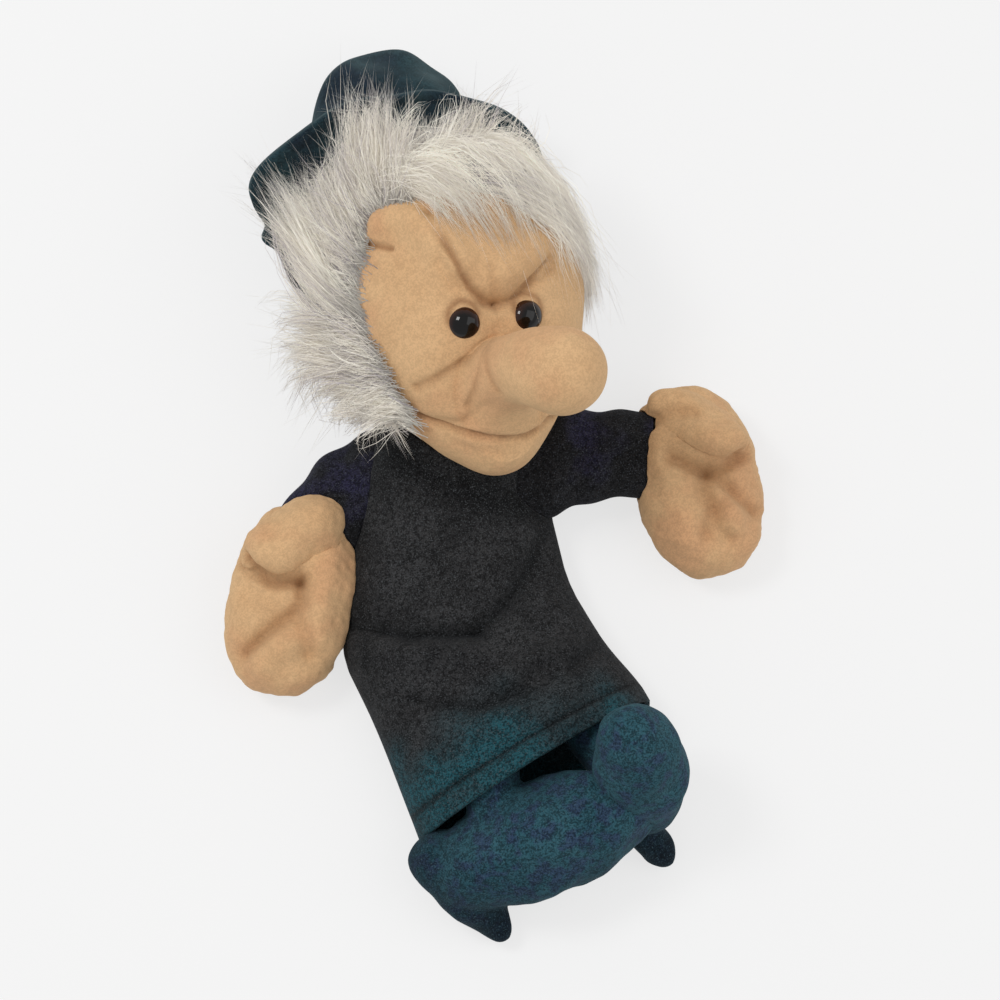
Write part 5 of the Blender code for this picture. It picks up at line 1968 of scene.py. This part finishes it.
@dataclass
class Sleeve:
    """One sleeve: an oval tube from a hole in the glove into the hand's cuff."""

    side: str
    way: tuple
    cut_length: float
    shoulder: tuple[float, float] = (19.5 * MM, 12.0 * MM)
    wrist: tuple[float, float] = (15.0 * MM, 9.5 * MM)
    wall: float = 2.0 * MM
    cuff_gap: float = 0.8 * MM

    def point(self, share: np.ndarray, angle: np.ndarray, offset: float) -> np.ndarray:
        """The sleeve's skin: an oval carried along a curve, narrowing to the wrist.

        Args:
            share: The share of the way from the shoulder to the wrist.
            angle: The angle round the sleeve.
            offset: How far outside the skin the points lie.

        Returns:
            World points.
        """
        middle, run = bezier(np.array(self.way, float) * MM, share)
        side = rows_unit(np.cross(run, (0, 0, 1)))
        over = np.cross(side, run)
        width = self.shoulder[0] + (self.wrist[0] - self.shoulder[0]) * share + offset
        height = self.shoulder[1] + (self.wrist[1] - self.shoulder[1]) * share + offset
        return middle + (width * np.cos(angle))[:, None] * side + (height * np.sin(angle))[:, None] * over

    def tube(self, around: np.ndarray, along: np.ndarray) -> np.ndarray:
        """The sleeve's cloth, with soft rings of folds that fade out at both ends.

        Args:
            around: The share of the way round.
            along: The share of the way from the shoulder to the wrist.

        Returns:
            World points.
        """
        points = self.point(along, 2 * math.pi * around, 0.0)
        middle, _ = bezier(np.array(self.way, float) * MM, along)
        outward = rows_unit(points - middle)
        fade = np.sin(math.pi * along) ** 0.7
        rings = 0.8 * MM * np.sin(along * 19 + 2.2 * np.cos(2 * math.pi * around))
        swell = rings + 0.6 * MM * ripple(points, 16 * MM, 6) - 0.5 * MM
        return points + (swell * fade)[:, None] * outward

    def block(self, offset: float) -> Skin:
        """A closed block of the sleeve's outline, moved on by the cuff's gap.

        Args:
            offset: How far it is grown.

        Returns:
            The block.
        """

        def shape(polar: np.ndarray, azimuth: np.ndarray) -> np.ndarray:
            """The sleeve's skin all round, closed to a point in the middle of each end.

            Args:
                polar: The polar angle.
                azimuth: The azimuth.

            Returns:
                World points.
            """
            along = np.clip((polar / math.pi - 0.125) / 0.75, 0, 1)
            middle, run = bezier(np.array(self.way, float) * MM, along)
            skin = self.point(along, azimuth, offset)
            points = np.where((np.sin(polar) > 0.001)[:, None], skin, middle)
            return points + run * (self.cuff_gap * along)[:, None]

        return ball(48, 24, shape)

    def build(self, bench: Bench, finish: Finish, inside: Piece) -> None:
        """Build the sleeve, cut back to the glove's inside.

        Args:
            bench: Where the piece is made.
            finish: Its material.
            inside: The tool that is the glove's inside.
        """
        skin = cloth(90, 50, self.tube, around=True)
        skin.values["shaded_crease"] = np.zeros(len(skin.points))
        name = "sleeve_" + self.side
        piece = bench.piece(
            name + "_cloth", skin, finish, Slot.VELOUR, [name], wall=self.wall, rooms=[inside])


@dataclass(frozen=True)
class Oval:
    """A soft oval.

    Attributes:
        middle: Its middle, in mm.
        axis: The way of its length.
        radii: Its half length, half width and half height, in mm.
        power: The power that squares its ends.
        flare: How much wider it is at the end of its axis than in the middle.
    """

    middle: tuple[float, float, float]
    axis: tuple[float, float, float]
    radii: tuple[float, float, float]
    power: float = 0.9
    flare: float = 0.0

    def skin(self, columns: int, rows: int, seed: int, grow: float = 0.0) -> Skin:
        """The oval's skin, with soft dents, flat where it meets the floor.

        Args:
            columns: The points round it.
            rows: The rings along it.
            seed: The number that sets its dents.
            grow: How much larger it is than its half sizes.

        Returns:
            The skin in the world.
        """
        way = unit(self.axis)
        across = unit(np.cross((0, 1, 0.01), way))
        over = np.cross(way, across)
        long, wide, tall = np.array(self.radii) * MM + grow

        def shape(polar: np.ndarray, azimuth: np.ndarray) -> np.ndarray:
            """The oval: a squared cosine along it, a swelling sine round it.

            Args:
                polar: The polar angle.
                azimuth: The azimuth.

            Returns:
                World points.
            """
            along = np.sign(np.cos(polar)) * np.abs(np.cos(polar)) ** self.power
            around = np.column_stack([along, np.cos(azimuth), np.sin(azimuth)])
            swell = 1 + 0.03 * ripple(around * 0.02, 0.03, seed)
            ring = swell * np.sin(polar) * (1 + self.flare * along)
            points = np.array(self.middle) * MM + (long * along)[:, None] * way
            points = points + (wide * ring * np.cos(azimuth))[:, None] * across
            points = points + (tall * ring * np.sin(azimuth))[:, None] * over
            points[:, 2] = rest_on(points[:, 2], -grow)
            return points

        return ball(columns, rows, shape)


def limb(start: Sequence[float], end: Sequence[float], first: float, last: float) -> Oval:
    """A round ended limb.

    Args:
        start: Its start in mm.
        end: Its end in mm.
        first: Its radius at the start in mm.
        last: Its radius at the end in mm.

    Returns:
        The limb, as an oval that flares to its end.
    """
    begin = np.array(start, float)
    finish = np.array(end, float)
    radius = (first + last) / 2
    flare = (last - first) / (last + first)
    middle = (begin + finish) / 2 + unit(finish - begin) * radius * flare
    length = float(np.linalg.norm(finish - begin)) / 2 + radius
    return Oval(tuple(middle), tuple(finish - begin), (length, radius, radius), 0.7, flare)


@dataclass
class Hand:
    """One stuffed mitten hand: an oval pad, a thumb that curls over it, and folds in its palm."""

    side: str
    place: Place
    thumb: Oval
    folds: tuple[Fold, ...]
    length: float = 36.0 * MM
    width: float = 23.0 * MM
    thickness: float = 16.0 * MM
    squareness: float = 0.85

    def form(self, polar: np.ndarray, azimuth: np.ndarray) -> np.ndarray:
        """The pad: an oval whose sides are squared by a power, pressed on the floor.

        Args:
            polar: The polar angle from the fingers' end.
            azimuth: The angle round the hand.

        Returns:
            World points.
        """
        directions = np.column_stack([
            np.sin(polar) * np.cos(azimuth), np.cos(polar), np.sin(polar) * np.sin(azimuth)])
        square = np.sign(directions) * np.abs(directions) ** self.squareness
        points = square * np.array([self.width, self.length, self.thickness])
        return self.place.to_world(self.place.keep_above(points, 0.0))

    def folded(self, points: np.ndarray, normals: np.ndarray) -> tuple[np.ndarray, dict[str, np.ndarray]]:
        """The hand's skin with its rolls and creases, where it faces up.

        Args:
            points: World points of the plain hand.
            normals: The normals there.

        Returns:
            The moved points, and the painted shade on each.
        """
        local = self.place.to_local(points)
        face = smooth_step((normals[:, 2] + 0.1) / 0.6)
        swell = sum(fold.swell(local[:, :2]) for fold in self.folds) * face
        swell = swell + 0.4 * MM * ripple(local, 17 * MM, 9) + 0.15 * MM * ripple(local, 6 * MM, 12)
        # Painted shade in the palm's creases, where the hand faces up.
        shade = np.max([fold.shade * fold.bell(local[:, :2]) for fold in self.folds], axis=0) * face
        points = points + swell[:, None] * normals
        points[:, 2] = np.maximum(points[:, 2], 0.0)
        return points, {"shaded_crease": shade}

    def build(self, bench: Bench, finish: Finish, rooms: list[Piece]) -> None:
        """Build the hand, cut to its sleeve and the glove.

        Args:
            bench: Where the piece is made.
            finish: Its material.
            rooms: The tools that cut it.
        """
        roll = self.thumb.skin(60, 44, 6)
        roll.points = self.place.to_world(roll.points)
        name = "hand_" + self.side
        piece = bench.piece(
            name + "_skin", ball(90, 70, self.form), finish, Slot.SKIN, [name], rooms=rooms,
            joined=[bench.tool(name + "_thumb", roll)], grain=0.78 * MM, passes=10, carving=self.folded,
            solver="MANIFOLD",
        )


@dataclass
class Boot:
    """One stuffed bootie."""

    side: str
    foot: Oval
    leg: Oval
    nub: Oval
    # The height over which painted shade darkens the boot from the floor up.
    sole: float = 38.0 * MM

    def parts(self, columns: int, rows: int, grow: float = 0.0) -> list[Skin]:
        """The skins of its leg and its nub.

        Args:
            columns: The points round each.
            rows: The rings along each.
            grow: How much larger they are.

        Returns:
            The skins.
        """
        return [self.leg.skin(columns, rows, 5, grow), self.nub.skin(columns, rows, 7, grow)]

    def build(self, bench: Bench, finish: Finish, rooms: list[Piece]) -> None:
        """Build the boot: its three ovals joined, then cut to what it touches.

        Args:
            bench: Where the piece is made.
            finish: Its material.
            rooms: The tools that cut it.
        """
        name = "boot_" + self.side
        joined = [bench.tool(f"{name}_part_{i}", part) for i, part in enumerate(self.parts(48, 32))]
        piece = bench.piece(
            name + "_cloth", self.foot.skin(90, 70, 3), finish, Slot.BOOT, [name], rooms=rooms,
            joined=joined, grain=0.95 * MM, passes=13, carving=self.dented,
        )

    def dented(self, points: np.ndarray, normals: np.ndarray) -> tuple[np.ndarray, dict[str, np.ndarray]]:
        """The boot's skin with soft dents, and painted shade that darkens it towards the floor.

        Args:
            points: World points of the plain boot.
            normals: The normals there.

        Returns:
            The moved points, and the painted shade on each, darkest at the sole.
        """
        swell = 0.8 * MM * ripple(points, 26 * MM, 14) + 0.12 * MM * ripple(points, 9 * MM, 15)
        points = points + swell[:, None] * normals
        points[:, 2] = np.maximum(points[:, 2], 0.0)
        # Painted shade: darker towards the floor.
        return points, {"shaded_crease": smooth_step(1.15 - points[:, 2] / self.sole)}


RIGHT_HAND = Hand(
    "right",
    Place((-58 * MM, 40 * MM, 15 * MM), (0, 0, 150.0)),
    limb((-3, -27, 11), (11, -11.5, 13), 11.5, 9.5),
    (
        Fold(((12.3, -12), (3.4, -10), (1, -22)), 3.6, 7.5),
        Fold(((20, -9), (14.3, -4), (9, -2.1), (3.9, -2.1), (-3.4, -4)), -5.0, 2.4, 0.6),
        Fold(((14, 3), (3, 3)), -2.0, 4.0),
        Fold(((-3.4, -4), (-5.4, 4.4), (-1.2, 10.1), (6, 18.4), (11.3, 25.5)), -3.8, 2.7, 0.42),
        Fold(((-5.4, 9.2), (-9.4, 15.1), (-11.7, 20.6)), -2.4, 2.5, 0.22),
        Fold(((3, 12), (9, 19)), -1.6, 5.0, 0.1),
        Fold(((-6, -28), (-11, -17), (-12.1, 3), (-14, 15)), 2.8, 5.5),
        Fold(((-4, 20), (4, 28)), 2.0, 4.5),
    ),
)
LEFT_HAND = Hand(
    "left",
    Place((96 * MM, 36 * MM, 15 * MM), (0, 0, 174.0)),
    limb((5, -27, 10), (-11, -11, 13), 8.5, 9.0),
    (
        Fold(((0.4, -12.5), (-6.3, -9), (-13, -7)), 3.6, 6.5),
        Fold(
            ((9, -7), (2.7, -2.6), (-0.6, -0.8), (-4.8, 0.1), (-8.9, 0.2), (-16, -3.1)),
            -4.4, 2.7, 0.42,
        ),
        Fold(((17, -19), (11.1, -23.3), (4.8, -23.1), (-2.2, -20.8)), -2.4, 2.6, 0.2),
        Fold(((-1.1, 0.1), (0.1, 6.8), (-1.2, 14.3), (2.3, 22.7)), -3.2, 3.0, 0.3),
        Fold(((-3.4, 1.4), (-9.1, 7.2), (-12.7, 14.1), (-17.4, 17.7)), -3.4, 2.8, 0.38),
        Fold(((-2.6, 14.6), (-2.4, 21.8), (-5.5, 25.9)), -2.0, 2.2, 0.2),
        Fold(((-8.8, 16.7), (-8.4, 21.5)), 2.6, 4.5),
        Fold(((12, -14), (11.8, 7.7), (8.4, 21.8)), 2.6, 6.0),
    ),
)
RIGHT_SLEEVE = Sleeve("right", ((0, 69, 16), (-24, 76, 19), (-44, 59, 16)), 28 * MM)
LEFT_SLEEVE = Sleeve("left", ((26, 58, 16), (54, 62, 20), (82, 50, 18)), 46 * MM)
RIGHT_BOOT = Boot(
    "right",
    Oval((0, -72, 24), (0.93, 0.05, 0.24), (44, 21, 20)),
    limb((-14, -66, 26), (-8, -38, 27), 10, 10),
    limb((-33, -71.5, 16), (-24.5, -93.5, 8.5), 14.5, 7.5),
)
SKIN_GAP = 0.6 * MM
SLEEVE_ROOM = 1.5 * MM
PANEL_ROOM = 2.6 * MM
BOOT_GAP = 0.3 * MM
LEFT_BOOT = Boot(
    "left",
    Oval((40.3, -60.5, 37), (-0.03, 0.24, 0.97), (38, 16, 18.5)),
    limb((35.5, -57, 24), (28, -35, 20), 13.2, 9.5),
    limb((37, -80, 10), (41, -89.5, 6), 8, 4.8),
)


@dataclass
class Studio:
    """A pale floor, soft lights and the camera."""

    camera_place: tuple[float, float, float] = (-0.05103626, -0.18270107, 1.00335846)
    right: tuple[float, float, float] = (0.95105652, -0.30901699, 0.0)
    up: tuple[float, float, float] = (0.29983787, 0.92280607, 0.2419219)
    back: tuple[float, float, float] = (-0.07475798, -0.2300814, 0.97029573)
    floor_size: float = 12.0
    backdrop: float = 0.93
    room_light: float = 0.62

    def floor(self) -> None:
        """Lay the floor: a wide sheet that is pale to the camera and keeps soft shadows."""
        skin = cloth(4, 4, lambda a, b: np.column_stack([(a - 0.5), (b - 0.5), a * 0]) * self.floor_size)
        made = put("floor", skin.mesh("floor"))
        finish = bpy.data.materials.new("floor_paper")
        finish.use_nodes = True
        board = Board(finish.node_tree)
        paper = board.wire(finish.node_tree.nodes["Principled BSDF"], {
            "Base Color": (0.86, 0.86, 0.86, 1), "Roughness": 1.0, "Specular IOR Level": 0.0})
        pale = (self.backdrop, self.backdrop, self.backdrop, 1)
        glow = board.wire(board.add("ShaderNodeEmission"), {"Color": pale})
        rays = board.add("ShaderNodeLightPath").outputs
        seen = board.sums("MAXIMUM", rays["Is Camera Ray"], rays["Is Glossy Ray"])
        seen = board.sums("MAXIMUM", seen, rays["Is Transmission Ray"])
        blend = board.wire(board.add("ShaderNodeMixShader"), {
            0: board.sums("MULTIPLY", seen, 0.75), 1: paper.outputs[0], 2: glow.outputs[0]})
        board.wire(finish.node_tree.nodes["Material Output"], {"Surface": blend.outputs[0]})
        made.data.materials.append(finish)

    def lamp(self, name: str, place: tuple[float, float, float], power: float, size: float) -> None:
        """Hang a square soft lamp that points at the puppet.

        Args:
            name: The lamp's name.
            place: Its place in the world.
            power: Its power in watts.
            size: The length of its side.
        """
        light = bpy.data.lights.new(name, "AREA")
        light.energy = power
        light.size = size
        made = put(name, light)
        made.location = place
        made.rotation_euler = (Vector((0, 0.05, 0.03)) - Vector(place)).to_track_quat("-Z", "Y").to_euler()

    def world(self) -> None:
        """Light everything softly from all round."""
        world = bpy.data.worlds.new("soft_room")
        bpy.context.scene.world = world
        world.use_nodes = True
        ground = world.node_tree.nodes["Background"]
        ground.inputs["Color"].default_value = (1.0, 1.0, 1.0, 1)
        ground.inputs["Strength"].default_value = self.room_light

    def camera(self) -> None:
        """Set the camera up at the viewing angle of the picture."""
        data = bpy.data.cameras.new("camera")
        data.lens = 100
        data.sensor_width = 36
        data.clip_start = 0.01
        data.clip_end = 50
        made = put("camera", data)
        columns = [Vector(self.right), Vector(self.up), Vector(self.back)]
        made.matrix_world = Matrix.Translation(self.camera_place) @ Matrix(columns).transposed().to_4x4()
        bpy.context.scene.camera = made

    def build(self) -> None:
        """Set the stage."""
        bpy.context.scene.view_settings.view_transform = "Standard"
        self.floor()
        self.world()
        self.lamp("key_lamp", (-0.40, 0.35, 0.95), 3.6, 0.3)
        self.lamp("fill_lamp", (0.7, -0.3, 0.8), 2.4, 0.9)
        self.camera()


def main() -> None:
    """Dress the puppet."""
    logging.basicConfig(level=logging.INFO, format="%(name)s %(message)s")
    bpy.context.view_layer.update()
    Studio().build()
    finishes = Finishes()
    bench = Bench()
    head = Head()
    hat = Hat(head)
    glove = Glove(head)
    head.build(bench, finishes.skin)
    for side, spot in zip(("right", "left"), head.socket_spots):
        Eye(side, spot).build(bench, head, finishes)
    dress_node("finger_tube", finishes.lining)
    hat.build(bench, finishes.hat)
    Wig(head, hat).build(bench, finishes.fur)
    inside = bench.tool("glove_inside", glove.block(-glove.wall / 2))
    outside = bench.tool("glove_outside", glove.block(glove.wall / 2 + SKIN_GAP))
    arms = []
    for sleeve, hand in ((LEFT_SLEEVE, LEFT_HAND), (RIGHT_SLEEVE, RIGHT_HAND)):
        room = bench.tool("room_" + sleeve.side, sleeve.block(SLEEVE_ROOM))
        hand.build(bench, finishes.skin, [room, outside])
        arms.append(room)
    glove.build(bench, finishes.glove, arms)
    for sleeve in (LEFT_SLEEVE, RIGHT_SLEEVE):
        sleeve.build(bench, finishes.sleeve, inside)
    panels = {name: cloth(60, 50, glove.panel(name == "front")) for name in ("front", "back")}
    hem = [bench.tool("room_" + name, skin, PANEL_ROOM) for name, skin in panels.items()]
    LEFT_BOOT.build(bench, finishes.boot, hem)
    grown = [LEFT_BOOT.foot.skin(48, 32, 3, BOOT_GAP)] + LEFT_BOOT.parts(48, 32, BOOT_GAP)
    beside = [bench.tool(f"boot_room_{i}", skin) for i, skin in enumerate(grown)]
    RIGHT_BOOT.build(bench, finishes.boot, hem + beside)
    bench.clear()


if __name__ == "__main__":
    main()
